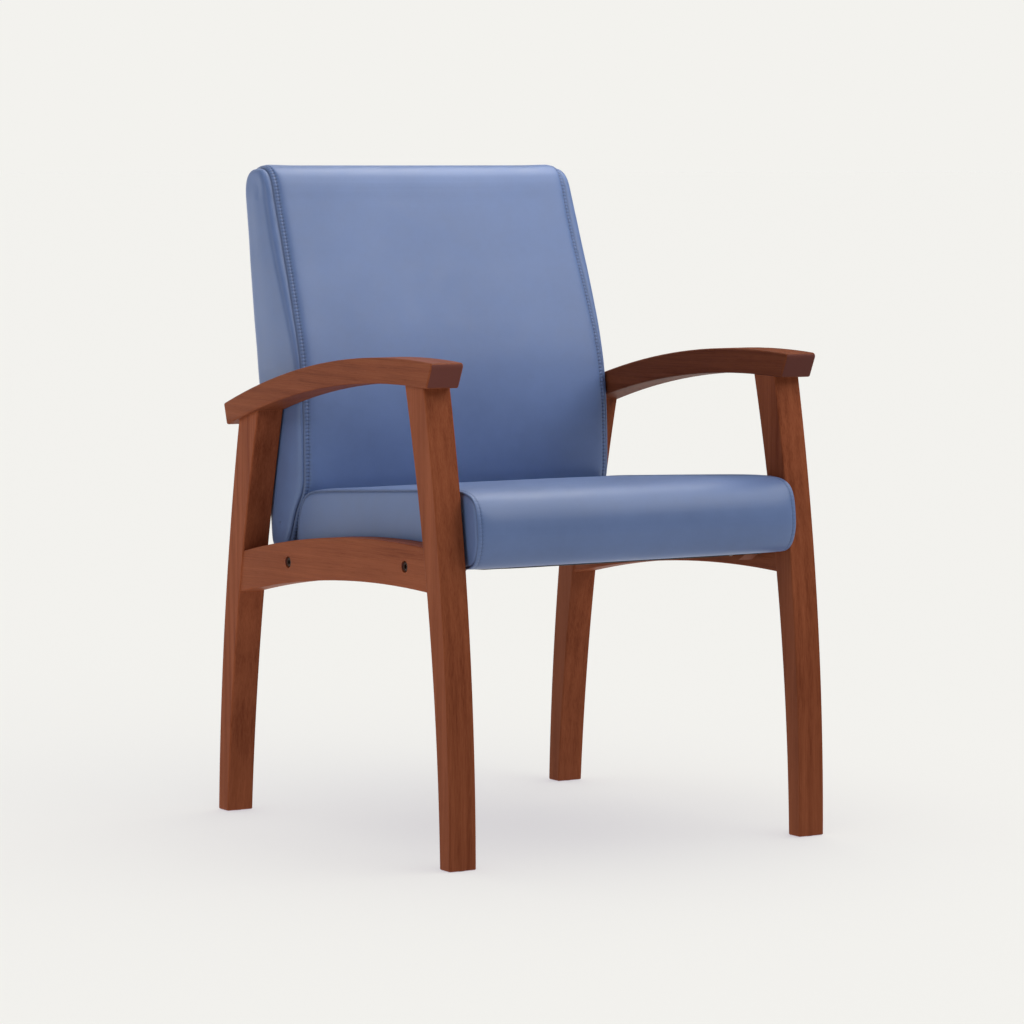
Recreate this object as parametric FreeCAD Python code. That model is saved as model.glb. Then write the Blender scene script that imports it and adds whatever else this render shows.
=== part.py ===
import FreeCAD, Part
import math
import os

V = FreeCAD.Vector
os.makedirs("parts", exist_ok=True)

# ---------------------------------------------------------------------------
# Visitor armchair with a fixed wooden frame. Millimetres, +Z up, the chair
# faces -Y, and left is -X (the left as seen by someone who faces the chair).
# Side profiles are drawn in the Y-Z plane and extruded along X. At the end
# everything is moved along Y so that the origin is the middle of the
# footprint box, on the floor.
# ---------------------------------------------------------------------------

# wooden side frames
LEG_OUT = 300.0            # outer face of the legs
LEG_T = 40.7               # leg thickness along X
LEG_IN = LEG_OUT - LEG_T
LEG_Z0 = 0.7               # underside of the legs, just clear of the floor
LEG_R = 2.0                # rounded long edges
ARM_IN = 257.2             # inner face of the armrests
ARM_W = 49.8               # armrest width
ARM_R = 3.0
ARM_FRONT_R = 5.0          # top edge of the front end
RAIL_IN = 261.0            # side rails are set back from the leg faces
RAIL_OUT = 298.4
RAIL_R = 1.6

# y = a*z*z + b*z + c, edges of the legs
FRONT_LEG_FRONT = (0.00016392, -0.000203318, -332.6)
FRONT_LEG_REAR = (0.000182476, 0.0246, -306.3)
REAR_LEG_FRONT = (-0.000169281, -0.0700937, 288.6)
REAR_LEG_REAR = (-0.000158503, -0.0316662, 316.2)
# z = a*y*y + b*y + c, edges of the arched rails and armrests
RAIL_TOP = (-0.000249572, -0.0906008, 414.422)
RAIL_BOTTOM = (-0.00023754, -0.0881803, 356.0)
ARM_TOP = (-0.00034946, -0.142472, 652.9)
ARM_BOTTOM = (-0.000341423, -0.140087, 618.4)
ARM_FRONT_TOP_Y = -301.0   # the front end is undercut
ARM_FRONT_BOTTOM_Y = -285.5
ARM_REAR_TOP_Y = 281.5
ARM_REAR_BOTTOM_Y = 272.5

# bolts through the side rails, (y, z) of each axis
BOLT_FRONT = (-213.7, 392.2)
BOLT_REAR = (107.8, 372.5)
BOLT_R = 4.0
BOLT_HOLE_R = 4.3
BOLT_HEAD_R = 6.5
BOLT_HEAD_H = 8.0
BOLT_SOCKET_AF = 6.0
CBORE_R = 8.1
CBORE_DEPTH = 11.0
WASHER_T = 1.5
WASHER_R = 7.9
SPACER_R = 12.0

# dowels
RAIL_DOWEL_R = 5.0
ARM_DOWEL_R = 5.0
FRAME_DOWEL_R = 4.0

# seat, in its own tilted directions: s runs to the rear, n runs up
SEAT_TILT = math.radians(3.6)
SEAT_Y0 = -319.0
SEAT_Z0 = 394.3
SEAT_HALF = 252.6          # outer face of the side panels
SEAT_FRONT = -12.0
SEAT_REAR = 486.0
SEAT_TOP = 106.5
SEAT_NOSE_R = 43.0
SEAT_CHIN_R = 15.0
SEAT_BACK_R = 54.0
SEAT_HEEL_R = 8.0
COVER_T = 2.0              # vinyl with its bonded lining
SIDE_T = 2.3
MEMBER_OUT = 247.0         # hardwood side members of the seat frame
MEMBER_T = 22.0
MEMBER_IN = MEMBER_OUT - MEMBER_T
MEMBER_TOP = 31.6
MEMBER_BOTTOM = -12.0
STILE_T = 24.0             # back stiles, bolted inside the side members
STILE_IN = MEMBER_IN - STILE_T

GLIDE_R = 10.0
GLIDE_T = 3.2              # let into the leg, all but the last 0.7 mm
GLIDE_ROOM = 0.15          # gap round the glide in its recess
NAIL_R = 1.3


# ---------------------------------------------------------------------------
# helpers
# ---------------------------------------------------------------------------
def q(c, t):
    return c[0] * t * t + c[1] * t + c[2]


def dq(c, t):
    return 2.0 * c[0] * t + c[1]


def bezier(poles):
    b = Part.BezierCurve()
    b.setPoles(poles)
    return b.toShape()


def edge_y_of_z(c, z0, z1, x=0.0):
    y0, y1 = q(c, z0), q(c, z1)
    zm = 0.5 * (z0 + z1)
    ym = y0 + dq(c, z0) * (zm - z0)
    return bezier([V(x, y0, z0), V(x, ym, zm), V(x, y1, z1)])


def edge_z_of_y(c, y0, y1, x=0.0):
    z0, z1 = q(c, y0), q(c, y1)
    ym = 0.5 * (y0 + y1)
    zm = z0 + dq(c, y0) * (ym - y0)
    return bezier([V(x, y0, z0), V(x, ym, zm), V(x, y1, z1)])


def line(a, b):
    return Part.LineSegment(a, b).toShape()


def extrude(edges, x0, x1):
    wire = Part.Wire(Part.__sortEdges__(edges))
    face = Part.Face(wire)
    solid = face.extrude(V(x1 - x0, 0, 0))
    solid.translate(V(x0, 0, 0))
    return solid


def poly(points, x0, x1):
    pts = [V(0, y, z) for y, z in points]
    wire = Part.makePolygon(pts + [pts[0]])
    solid = Part.Face(wire).extrude(V(x1 - x0, 0, 0))
    solid.translate(V(x0, 0, 0))
    return solid


def box(x0, x1, y0, y1, z0, z1):
    return Part.makeBox(x1 - x0, y1 - y0, z1 - z0, V(x0, y0, z0))


def cyl_x(r, x0, x1, y, z):
    return Part.makeCylinder(r, x1 - x0, V(x0, y, z), V(1, 0, 0))


def mirror(shape):
    return shape.mirror(V(0, 0, 0), V(1, 0, 0))


def both(shape):
    return [shape, mirror(shape)]


def fillet(shape, radius, test):
    edges = [e for e in shape.Edges if test(e)]
    try:
        out = shape.makeFillet(radius, edges)
        if out.isValid() and abs(out.Volume) > 0:
            return out
    except Exception as err:
        print("fillet", radius, len(edges), err)
    return shape


def group(shapes):
    return Part.makeCompound(shapes)


def seat_pt(s, n, x=0.0):
    return V(x, SEAT_Y0 + s * math.cos(SEAT_TILT) + n * math.sin(SEAT_TILT),
             SEAT_Z0 - s * math.sin(SEAT_TILT) + n * math.cos(SEAT_TILT))


def seat_sn(y, z):
    dy, dz = y - SEAT_Y0, z - SEAT_Z0
    return (dy * math.cos(SEAT_TILT) - dz * math.sin(SEAT_TILT),
            dy * math.sin(SEAT_TILT) + dz * math.cos(SEAT_TILT))


def seat_poly(points, x0, x1):
    return poly([(seat_pt(s, n).y, seat_pt(s, n).z) for s, n in points], x0, x1)


def seat_box(x0, x1, s0, s1, n0, n1):
    return seat_poly([(s0, n0), (s1, n0), (s1, n1), (s0, n1)], x0, x1)


def arc_sn(cs, cn, r, a0, a1):
    p = []
    for a in (a0, 0.5 * (a0 + a1), a1):
        t = math.radians(a)
        p.append(seat_pt(cs + r * math.cos(t), cn + r * math.sin(t)))
    return Part.Arc(p[0], p[1], p[2]).toShape()


def seat_outline(o):
    """Closed side outline of the seat cushion, inset by o."""
    f, r, t = SEAT_FRONT, SEAT_REAR, SEAT_TOP
    chin = (f + SEAT_CHIN_R, SEAT_CHIN_R, SEAT_CHIN_R - o)
    nose = (f + SEAT_NOSE_R, t - SEAT_NOSE_R, SEAT_NOSE_R - o)
    back = (r - SEAT_BACK_R, t - SEAT_BACK_R, SEAT_BACK_R - o)
    heel = (r - SEAT_HEEL_R, SEAT_HEEL_R, SEAT_HEEL_R - o)
    e = [arc_sn(chin[0], chin[1], chin[2], 270, 180),
         line(seat_pt(f + o, chin[1]), seat_pt(f + o, nose[1])),
         arc_sn(nose[0], nose[1], nose[2], 180, 90),
         line(seat_pt(nose[0], t - o), seat_pt(back[0], t - o)),
         arc_sn(back[0], back[1], back[2], 90, 0),
         line(seat_pt(r - o, back[1]), seat_pt(r - o, heel[1])),
         arc_sn(heel[0], heel[1], heel[2], 0, -90),
         line(seat_pt(heel[0], o), seat_pt(chin[0], o))]
    return e


def dowel(r, p, d, before, after):
    """Cylinder along d through p, from -before to +after."""
    d = V(d).normalize()
    return Part.makeCylinder(r, before + after, p - d * before, d)


nodes = {}


# ---------------------------------------------------------------------------
# side frame (right side, then mirrored)
# ---------------------------------------------------------------------------
def leg_blank(front, rear, z1):
    e = [edge_y_of_z(front, LEG_Z0, z1), edge_y_of_z(rear, LEG_Z0, z1),
         line(V(0, q(front, LEG_Z0), LEG_Z0), V(0, q(rear, LEG_Z0), LEG_Z0)),
         line(V(0, q(front, z1), z1), V(0, q(rear, z1), z1))]
    return extrude(e, LEG_IN, LEG_OUT)


def above_arm_underside():
    e = [edge_z_of_y(ARM_BOTTOM, -340.0, 340.0),
         line(V(0, 340.0, q(ARM_BOTTOM, 340.0)), V(0, 340.0, 760.0)),
         line(V(0, 340.0, 760.0), V(0, -340.0, 760.0)),
         line(V(0, -340.0, 760.0), V(0, -340.0, q(ARM_BOTTOM, -340.0)))]
    return extrude(e, 240.0, 320.0)


def long_or_foot(e):
    b = e.BoundBox
    tall = b.ZLength > 100.0
    foot = b.ZMax < LEG_Z0 + 0.01
    return tall or foot


over = above_arm_underside()
front_blank = leg_blank(FRONT_LEG_FRONT, FRONT_LEG_REAR, 660.0)
rear_blank = leg_blank(REAR_LEG_FRONT, REAR_LEG_REAR, 620.0)
front_leg = fillet(front_blank, LEG_R, long_or_foot).cut(over)
rear_leg = fillet(rear_blank, LEG_R, long_or_foot).cut(over)

# armrest
arm_edges = [
    edge_z_of_y(ARM_TOP, ARM_FRONT_TOP_Y, ARM_REAR_TOP_Y),
    edge_z_of_y(ARM_BOTTOM, ARM_FRONT_BOTTOM_Y, ARM_REAR_BOTTOM_Y),
    line(V(0, ARM_FRONT_TOP_Y, q(ARM_TOP, ARM_FRONT_TOP_Y)),
         V(0, ARM_FRONT_BOTTOM_Y, q(ARM_BOTTOM, ARM_FRONT_BOTTOM_Y))),
    line(V(0, ARM_REAR_TOP_Y, q(ARM_TOP, ARM_REAR_TOP_Y)),
         V(0, ARM_REAR_BOTTOM_Y, q(ARM_BOTTOM, ARM_REAR_BOTTOM_Y)))]
armrest = extrude(arm_edges, ARM_IN, ARM_IN + ARM_W)
armrest = fillet(armrest, ARM_FRONT_R, lambda e: e.BoundBox.XLength > 20.0 and e.BoundBox.YMax < ARM_FRONT_TOP_Y + 1.0)
armrest = fillet(armrest, ARM_R, lambda e: not (e.BoundBox.XLength > 20.0 and e.BoundBox.YMax < ARM_FRONT_BOTTOM_Y - 2.0))

# side rail, its ends scribed to the legs
rail_edges = [edge_z_of_y(RAIL_TOP, -300.0, 290.0), edge_z_of_y(RAIL_BOTTOM, -300.0, 290.0),
              line(V(0, -300.0, q(RAIL_TOP, -300.0)), V(0, -300.0, q(RAIL_BOTTOM, -300.0))),
              line(V(0, 290.0, q(RAIL_TOP, 290.0)), V(0, 290.0, q(RAIL_BOTTOM, 290.0)))]
rail = extrude(rail_edges, RAIL_IN, RAIL_OUT)
rail = fillet(rail, RAIL_R, lambda e: e.BoundBox.YLength > 100.0)
cutters = [front_blank, rear_blank]
for c in cutters:
    rail = rail.cut(c)
# keep the span between the legs
rail = max(rail.Solids, key=lambda s: s.Volume)

# dowels between rail and legs (along Y), two at each end
RAIL_MID_X = 0.5 * (RAIL_IN + RAIL_OUT)
rail_dowels = []
for z in (376.0, 407.0):
    y = q(FRONT_LEG_REAR, z)
    rail_dowels.append(Part.makeCylinder(RAIL_DOWEL_R, 50.0, V(RAIL_MID_X, y - 22.0, z), V(0, 1, 0)))
for z in (336.0, 364.0):
    y = q(REAR_LEG_FRONT, z)
    rail_dowels.append(Part.makeCylinder(RAIL_DOWEL_R, 50.0, V(RAIL_MID_X, y - 26.0, z), V(0, 1, 0)))

# dowels between legs and armrest, two in each leg top, along the leg
LEG_MID_X = 0.5 * (LEG_IN + LEG_OUT)
arm_dowels = []
for y in (-256.0, -234.0):
    p = V(LEG_MID_X, y, q(ARM_BOTTOM, y))
    arm_dowels.append(dowel(ARM_DOWEL_R, p, V(0, 0.21, 0.978), 24.0, 20.0))
for y in (207.0, 231.0):
    p = V(LEG_MID_X, y, q(ARM_BOTTOM, y))
    arm_dowels.append(dowel(ARM_DOWEL_R, p, V(0, -0.22, 0.975), 24.0, 20.0))

for d in rail_dowels:
    rail = rail.cut(d)
    front_leg = front_leg.cut(d)
    rear_leg = rear_leg.cut(d)
for d in arm_dowels:
    armrest = armrest.cut(d)
    front_leg = front_leg.cut(d)
    rear_leg = rear_leg.cut(d)

# glides let in and nailed under the legs
glides, nails = [], []
for c0, c1 in ((FRONT_LEG_FRONT, FRONT_LEG_REAR), (REAR_LEG_FRONT, REAR_LEG_REAR)):
    yc = 0.5 * (q(c0, LEG_Z0) + q(c1, LEG_Z0))
    g = Part.makeCylinder(GLIDE_R, GLIDE_T, V(LEG_MID_X, yc, 0))
    g = fillet(g, 0.5, lambda e: e.BoundBox.ZMax < 0.01)
    recess = Part.makeCylinder(GLIDE_R + GLIDE_ROOM, GLIDE_T + 1.0, V(LEG_MID_X, yc, -1.0))
    nail = Part.makeCylinder(NAIL_R, 20.0, V(LEG_MID_X, yc, 1.6))
    head = Part.makeCylinder(3.0, 0.7, V(LEG_MID_X, yc, 0.9))
    nail = nail.fuse(head).removeSplitter()
    well = Part.makeCylinder(3.0, 0.9, V(LEG_MID_X, yc, 0))
    g = g.cut(nail).cut(well)
    glides.append(g)
    nails.append(nail)
    front_leg = front_leg.cut(recess).cut(nail)
    rear_leg = rear_leg.cut(recess).cut(nail)

# ---------------------------------------------------------------------------
# bolts through the side rails into the seat frame
# ---------------------------------------------------------------------------
CB_FLOOR = RAIL_OUT - CBORE_DEPTH
bolts_front, bolts_rear, washers, spacers, tee_front, tee_rear = [], [], [], [], [], []
bolt_holes = []


def tee_nut(x_face, y, z, bore_r, barrel_r, barrel_l, flange_r, flange_t):
    """Prong nut: barrel set into the wood from x_face outwards, flange on the face."""
    n = cyl_x(barrel_r, x_face, x_face + barrel_l, y, z)
    n = n.fuse(cyl_x(flange_r, x_face - flange_t, x_face, y, z))
    return n.cut(cyl_x(bore_r, x_face - flange_t - 1, x_face + barrel_l + 1, y, z)).removeSplitter()


def hex_prism_x(af, x0, x1, y, z):
    r = af / math.sqrt(3.0)
    pts = [(y + r * math.cos(math.radians(60 * k)), z + r * math.sin(math.radians(60 * k)))
           for k in range(6)]
    return poly(pts, x0, x1)


def socket_bolt(y, z, x_under, x_tip, r, head_r, head_h, af, depth):
    """Cap bolt along X, the head outwards (+X)."""
    head = cyl_x(head_r, x_under, x_under + head_h, y, z)
    head = fillet(head, 0.8, lambda e: e.BoundBox.XMin > x_under + head_h - 0.01)
    head = head.cut(hex_prism_x(af, x_under + head_h - depth, x_under + head_h + 1, y, z))
    shank = cyl_x(r, x_tip, x_under, y, z)
    shank = shank.cut(Part.makeCone(r + 1.0, r - 1.0, 0.01, V(x_tip - 1, y, z), V(1, 0, 0)))
    return head.fuse(shank).removeSplitter()


UNDER = CB_FLOOR + WASHER_T
for (y, z), inner, tip, bl, tl in ((BOLT_FRONT, MEMBER_IN, MEMBER_IN - 3.0, bolts_front, tee_front),
                                   (BOLT_REAR, STILE_IN, STILE_IN - 3.0, bolts_rear, tee_rear)):
    rail = rail.cut(cyl_x(CBORE_R, CB_FLOOR, RAIL_OUT + 5, y, z))
    hole = cyl_x(BOLT_HOLE_R, STILE_IN - 10, RAIL_OUT + 5, y, z)
    rail = rail.cut(hole)
    bolt_holes.append(hole)
    w = cyl_x(WASHER_R, CB_FLOOR, UNDER, y, z).cut(hole)
    washers.append(w)
    sp = cyl_x(SPACER_R, MEMBER_OUT, RAIL_IN, y, z).cut(hole)
    spacers.append(sp)
    bl.append(socket_bolt(y, z, UNDER, tip, BOLT_R, BOLT_HEAD_R, BOLT_HEAD_H, BOLT_SOCKET_AF, 4.5))
    tl.append(tee_nut(inner, y, z, BOLT_R + 0.1, 5.2, 12.0, 11.0, 1.6))

# ---------------------------------------------------------------------------
# seat frame (right side member, front and rear rails)
# ---------------------------------------------------------------------------
MEMBER_S0 = 24.0
MEMBER_S1 = 548.0
member = seat_poly([(MEMBER_S0, 2.0), (62.0, 0.0), (88.0, MEMBER_BOTTOM), (440.0, MEMBER_BOTTOM),
                    (500.0, -16.0), (MEMBER_S1, -16.0), (MEMBER_S1, 11.5), (494.0, 11.5),
                    (478.0, MEMBER_TOP), (MEMBER_S0, MEMBER_TOP)], MEMBER_IN, MEMBER_OUT)

# back stile with a knee that runs forward inside the side member
KNEE_S0 = 342.0
stile_front = [(189.0, 384.0), (193.0, 432.0), (205.0, 520.0), (223.0, 613.0), (243.0, 720.0), (268.0, 872.0)]
stile_rear = [(301.0, 868.0), (284.0, 767.0), (268.5, 650.0), (262.5, 613.0), (247.0, 530.0), (231.0, 434.0)]
knee = [seat_pt(KNEE_S0, -10.0), seat_pt(KNEE_S0, 26.0), seat_pt(474.0, 26.0), seat_pt(490.0, 9.0),
        seat_pt(503.0, 9.0)]
knee_back = [seat_pt(548.0, 11.0), seat_pt(548.0, -14.0), seat_pt(500.0, -14.0), seat_pt(440.0, -10.0)]
stile_pts = ([(p.y, p.z) for p in knee] + stile_front + stile_rear + [(p.y, p.z) for p in knee_back])
stile = poly(stile_pts, STILE_IN, MEMBER_IN)
stile_upper = poly(stile_front + stile_rear + [(227.5, 400.0), (225.0, 384.0)], MEMBER_IN, MEMBER_OUT - 0.5)
stile = stile.fuse(stile_upper).removeSplitter()

seat_front_rail = seat_box(-MEMBER_IN, MEMBER_IN, 24.0, 48.0, COVER_T, 30.0)
seat_rear_rail = seat_box(-STILE_IN, STILE_IN, 450.0, 474.0, COVER_T, 30.0)

# dowels of the seat frame, two at each joint, along X
frame_dowels = []
for n in (9.5, 22.5):
    c = seat_pt(36.0, n)
    frame_dowels.append(cyl_x(FRAME_DOWEL_R, MEMBER_IN - 26.0, MEMBER_IN + 17.0, c.y, c.z))
for n in (9.0, 20.0):
    c = seat_pt(462.0, n)
    frame_dowels.append(cyl_x(FRAME_DOWEL_R, STILE_IN - 26.0, STILE_IN + 18.0, c.y, c.z))
for d in frame_dowels:
    member = member.cut(d)
    stile = stile.cut(d)
    for dd in both(d):
        seat_front_rail = seat_front_rail.cut(dd)
        seat_rear_rail = seat_rear_rail.cut(dd)

# corner blocks, screwed to the rails and to the sides
corner_blocks, block_screws = [], []


def block(xc, s_face, toward, n0, h):
    """Three-cornered block against the side at x = xc and the rail face at s_face."""
    a = 46.0
    cut = 10.0
    p = [(0, 0), (a, 0), (a, cut), (cut, a), (0, a)]
    verts = [seat_pt(s_face + toward * b, n0, xc - aa) for aa, b in p]
    wire = Part.makePolygon(verts + [verts[0]])
    up = seat_pt(0, 1) - seat_pt(0, 0)
    return Part.Face(wire).extrude(up * h)


def screw(p, d, length):
    """Wood screw: countersunk head at p, pointing along d."""
    d = V(d).normalize()
    head = Part.makeCone(3.6, 1.9, 2.4, p, d)
    shank = Part.makeCylinder(1.9, length - 6.4, p + d * 2.4, d)
    tip = Part.makeCone(1.9, 0.3, 4.0, p + d * (length - 4.0), d)
    return head.fuse(shank).fuse(tip).removeSplitter()


e_s = seat_pt(1, 0) - seat_pt(0, 0)
up = seat_pt(0, 1) - seat_pt(0, 0)
front_block = block(MEMBER_IN, 48.0, 1.0, 4.0, 22.0)
# the rear blocks sit above the nuts of the rear frame bolts
rear_block = block(STILE_IN, 450.0, -1.0, 17.2, 12.6)
# the two screws of a block sit at different heights, so that they don't cross
for s0, face_x, sgn, n_side, n_rail in ((76.0, MEMBER_IN, -1.0, 10.0, 20.0), (422.0, STILE_IN, 1.0, 20.4, 26.4)):
    to_side = screw(seat_pt(s0, n_side, face_x - 28.0), V(1, 0, 0), 42.0)
    to_rail = screw(seat_pt(s0, n_rail, face_x - 28.0), e_s * sgn, 42.0)
    side_bore = Part.makeCylinder(3.7, 40.0, seat_pt(s0, n_side, face_x - 28.0), V(-1, 0, 0))
    rail_bore = Part.makeCylinder(3.7, 40.0, seat_pt(s0, n_rail, face_x - 28.0), e_s * -sgn)
    for s in (to_side, to_rail):
        member = member.cut(s)
        stile = stile.cut(s)
        for ss in both(s):
            seat_front_rail = seat_front_rail.cut(ss)
            seat_rear_rail = seat_rear_rail.cut(ss)
        block_screws += both(s)
    for s in (side_bore, rail_bore, to_side, to_rail):
        if sgn < 0:
            front_block = front_block.cut(s)
        else:
            rear_block = rear_block.cut(s)
corner_blocks = both(front_block) + both(rear_block)

# bolts that clamp the stile's knee to the side member
back_bolts, back_washers, back_tees = [], [], []
for s, n in ((366.0, 7.0), (506.0, -2.5), (535.0, -2.5)):
    c = seat_pt(s, n)
    hole = cyl_x(3.2, STILE_IN - 10, MEMBER_OUT + 5, c.y, c.z)
    member = member.cut(cyl_x(6.6, MEMBER_OUT - 5.0, MEMBER_OUT + 5, c.y, c.z)).cut(hole)
    stile = stile.cut(hole)
    back_washers.append(cyl_x(6.2, MEMBER_OUT - 5.0, MEMBER_OUT - 4.0, c.y, c.z).cut(hole))
    back_bolts.append(socket_bolt(c.y, c.z, MEMBER_OUT - 4.0, STILE_IN - 2.5, 3.0, 5.2, 3.4, 4.0, 2.2))
    t = tee_nut(STILE_IN, c.y, c.z, 3.1, 4.2, 10.0, 8.5, 1.4)
    back_tees.append(t)
    stile = stile.cut(cyl_x(4.2, STILE_IN - 1, STILE_IN + 10.0, c.y, c.z))

# clear bores and nut seats of the frame bolts
for hole in bolt_holes:
    member = member.cut(hole)
    stile = stile.cut(hole)
member = member.cut(cyl_x(5.2, MEMBER_IN - 1, MEMBER_IN + 12.0, BOLT_FRONT[0], BOLT_FRONT[1]))
stile = stile.cut(cyl_x(5.2, STILE_IN - 1, STILE_IN + 12.0, BOLT_REAR[0], BOLT_REAR[1]))

# ---------------------------------------------------------------------------
# elastic webbing, foam, cover and dust cover of the seat
# ---------------------------------------------------------------------------
web_long = [seat_box(xc - 30.0, xc + 30.0, 26.0, 472.0, 30.0, 31.6) for xc in (-150.0, -50.0, 50.0, 150.0)]
web_cross = [seat_box(-244.0, 244.0, sc - 30.0, sc + 30.0, 31.6, 33.2) for sc in (110.0, 205.0, 300.0, 395.0)]

FOAM_X = SEAT_HALF - SIDE_T - 0.7
foam_outer = extrude(seat_outline(COVER_T + 0.2), -FOAM_X, FOAM_X)
foam_under = seat_box(-300.0, 300.0, 23.4, 520.0, -60.0, 33.5)
seat_foam = foam_outer.cut(foam_under)

MAIN_X = SEAT_HALF - SIDE_T
shell = extrude(seat_outline(0.0), -MAIN_X, MAIN_X).cut(extrude(seat_outline(COVER_T), -300.0, 300.0))
# under the seat the panel only turns in far enough to be stapled
shell = shell.cut(seat_box(-300.0, 300.0, 47.0, 451.0, -20.0, 20.0))
# it is slit round the side members and the knees
slits = both(seat_box(STILE_IN - 0.5, MEMBER_OUT + 0.5, 440.0, 560.0, -40.0, 32.2)) + \
    both(seat_box(MEMBER_IN - 0.3, MEMBER_OUT + 0.5, 22.0, 60.0, -40.0, 3.0))
for s in slits:
    shell = shell.cut(s)
seat_cover_main = max(shell.Solids, key=lambda s: s.Volume)

side = extrude(seat_outline(0.0), MAIN_X, SEAT_HALF)
for y, z in (BOLT_FRONT, BOLT_REAR):
    side = side.cut(cyl_x(SPACER_R + 0.4, MEMBER_OUT, SEAT_HALF + 5, y, z))
seat_cover_side = max(side.Solids, key=lambda s: s.Volume)

# black cloth under the seat, between the side members
DUST_X = STILE_IN - 3.2
dust = seat_box(-DUST_X, DUST_X, 28.0, 470.0, -0.9, 0.0)
dust = dust.fuse(seat_box(-MEMBER_IN + 2.4, MEMBER_IN - 2.4, 28.0, KNEE_S0 - 2.0, -0.9, 0.0)).removeSplitter()
staples = []


def staple(x, s, along_x):
    h = 5.0
    parts = []
    if along_x:
        parts.append(seat_box(x - h, x + h, s - 0.6, s + 0.6, -1.5, -0.9))
        parts.append(seat_box(x - h, x - h + 0.9, s - 0.6, s + 0.6, -0.9, 7.0))
        parts.append(seat_box(x + h - 0.9, x + h, s - 0.6, s + 0.6, -0.9, 7.0))
    out = parts[0]
    for p in parts[1:]:
        out = out.fuse(p)
    return out.removeSplitter()


for s in (36.0, 462.0):
    for k in range(7):
        staples.append(staple(-168.0 + 56.0 * k, s, True))
for st in staples:
    dust = dust.cut(st)
    seat_cover_main = seat_cover_main.cut(st)
    seat_front_rail = seat_front_rail.cut(st)
    seat_rear_rail = seat_rear_rail.cut(st)

# ---------------------------------------------------------------------------
# back: frame, webbing, foam and cover
# ---------------------------------------------------------------------------
back_front = [(188.5, 378.0), (179.5, 404.0), (169.0, 436.0), (157.0, 457.0), (149.0, 474.0), (144.0, 505.0),
              (143.2, 540.0), (149.5, 610.0), (157.5, 646.0), (182.0, 720.0), (210.5, 796.0), (241.5, 886.0)]
back_rear = [(316.0, 886.0), (305.8, 826.0), (291.0, 711.0), (278.0, 613.0), (262.0, 525.0), (244.5, 434.0),
             (234.0, 378.0)]
back_top = [(241.5, 886.0), (247.5, 903.5), (264.0, 916.5), (284.0, 920.0), (303.0, 915.0), (313.6, 902.5),
            (316.0, 886.0)]


def offset_points(pts, o):
    """Each point moved by o to the left of the direction of travel."""
    out = []
    for i, (y, z) in enumerate(pts):
        a = pts[max(i - 1, 0)]
        b = pts[min(i + 1, len(pts) - 1)]
        dy, dz = b[0] - a[0], b[1] - a[1]
        m = math.hypot(dy, dz)
        out.append((y + o * dz / m, z - o * dy / m))
    return out


def spline(pts):
    c = Part.BSplineCurve()
    c.interpolate([V(0, y, z) for y, z in pts])
    return c.toShape()


def back_outline(o):
    f = offset_points(back_front, o)
    r = offset_points(back_rear, o)
    f[0] = (f[0][0] + 0.3 * o, back_front[0][1] + o)
    r[-1] = (r[-1][0] - 0.2 * o, back_rear[-1][1] + o)
    t = offset_points(back_top, o)
    t[0] = f[-1] = (back_front[-1][0] + 0.95 * o, back_front[-1][1] - 0.33 * o)
    t[-1] = r[0] = (back_rear[0][0] - 0.99 * o, back_rear[0][1] + 0.1 * o)
    return [spline(f), spline(t), spline(r),
            line(V(0, r[-1][0], r[-1][1]), V(0, f[0][0], f[0][1]))]


def rail_between(y0, z0, y1, z1, t):
    """Rail of the back frame: a board from (y0, z0) up to (y1, z1), t thick."""
    m = math.hypot(y1 - y0, z1 - z0)
    ny, nz = (z1 - z0) / m * t, -(y1 - y0) / m * t
    return poly([(y0, z0), (y1, z1), (y1 - ny, z1 - nz), (y0 - ny, z0 - nz)], -STILE_IN, STILE_IN)


back_top_rail = rail_between(290.5, 822.0, 297.5, 866.0, 22.0)
back_lumbar_rail = rail_between(259.5, 612.0, 266.0, 652.0, 22.0)
back_bottom_rail = rail_between(222.5, 392.0, 228.5, 432.0, 22.0)

# dowels of the back frame
back_dowels = []
for y, z in ((281.0, 835.0), (285.0, 855.0), (250.5, 622.0), (253.5, 641.0), (213.5, 402.0), (216.0, 421.0)):
    back_dowels.append(cyl_x(FRAME_DOWEL_R, STILE_IN - 26.0, STILE_IN + 18.0, y, z))
for d in back_dowels:
    stile = stile.cut(d)
    for dd in both(d):
        back_top_rail = back_top_rail.cut(dd)
        back_lumbar_rail = back_lumbar_rail.cut(dd)
        back_bottom_rail = back_bottom_rail.cut(dd)


def on_stile(z):
    pts = stile_front
    for a, b in zip(pts, pts[1:]):
        if a[1] <= z <= b[1]:
            t = (z - a[1]) / (b[1] - a[1])
            return a[0] + t * (b[0] - a[0])
    return pts[-1][0]


back_webs = []
for z0, z1 in ((440.0, 500.0), (530.0, 590.0), (622.0, 682.0), (726.0, 786.0), (796.0, 856.0)):
    y0, y1 = on_stile(z0), on_stile(z1)
    m = math.hypot(y1 - y0, z1 - z0)
    # straps lie on the front edges of the stiles
    gap = 0.0
    for k in range(1, 12):
        z = z0 + (z1 - z0) * k / 12.0
        gap = max(gap, (y0 + (y1 - y0) * k / 12.0) - on_stile(z))
    y0 -= gap
    y1 -= gap
    back_webs.append(poly([(y0, z0), (y1, z1), (y1 - 1.6, z1 + 0.3), (y0 - 1.6, z0 + 0.3)],
                          -MEMBER_OUT + 3.0, MEMBER_OUT - 3.0))

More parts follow.
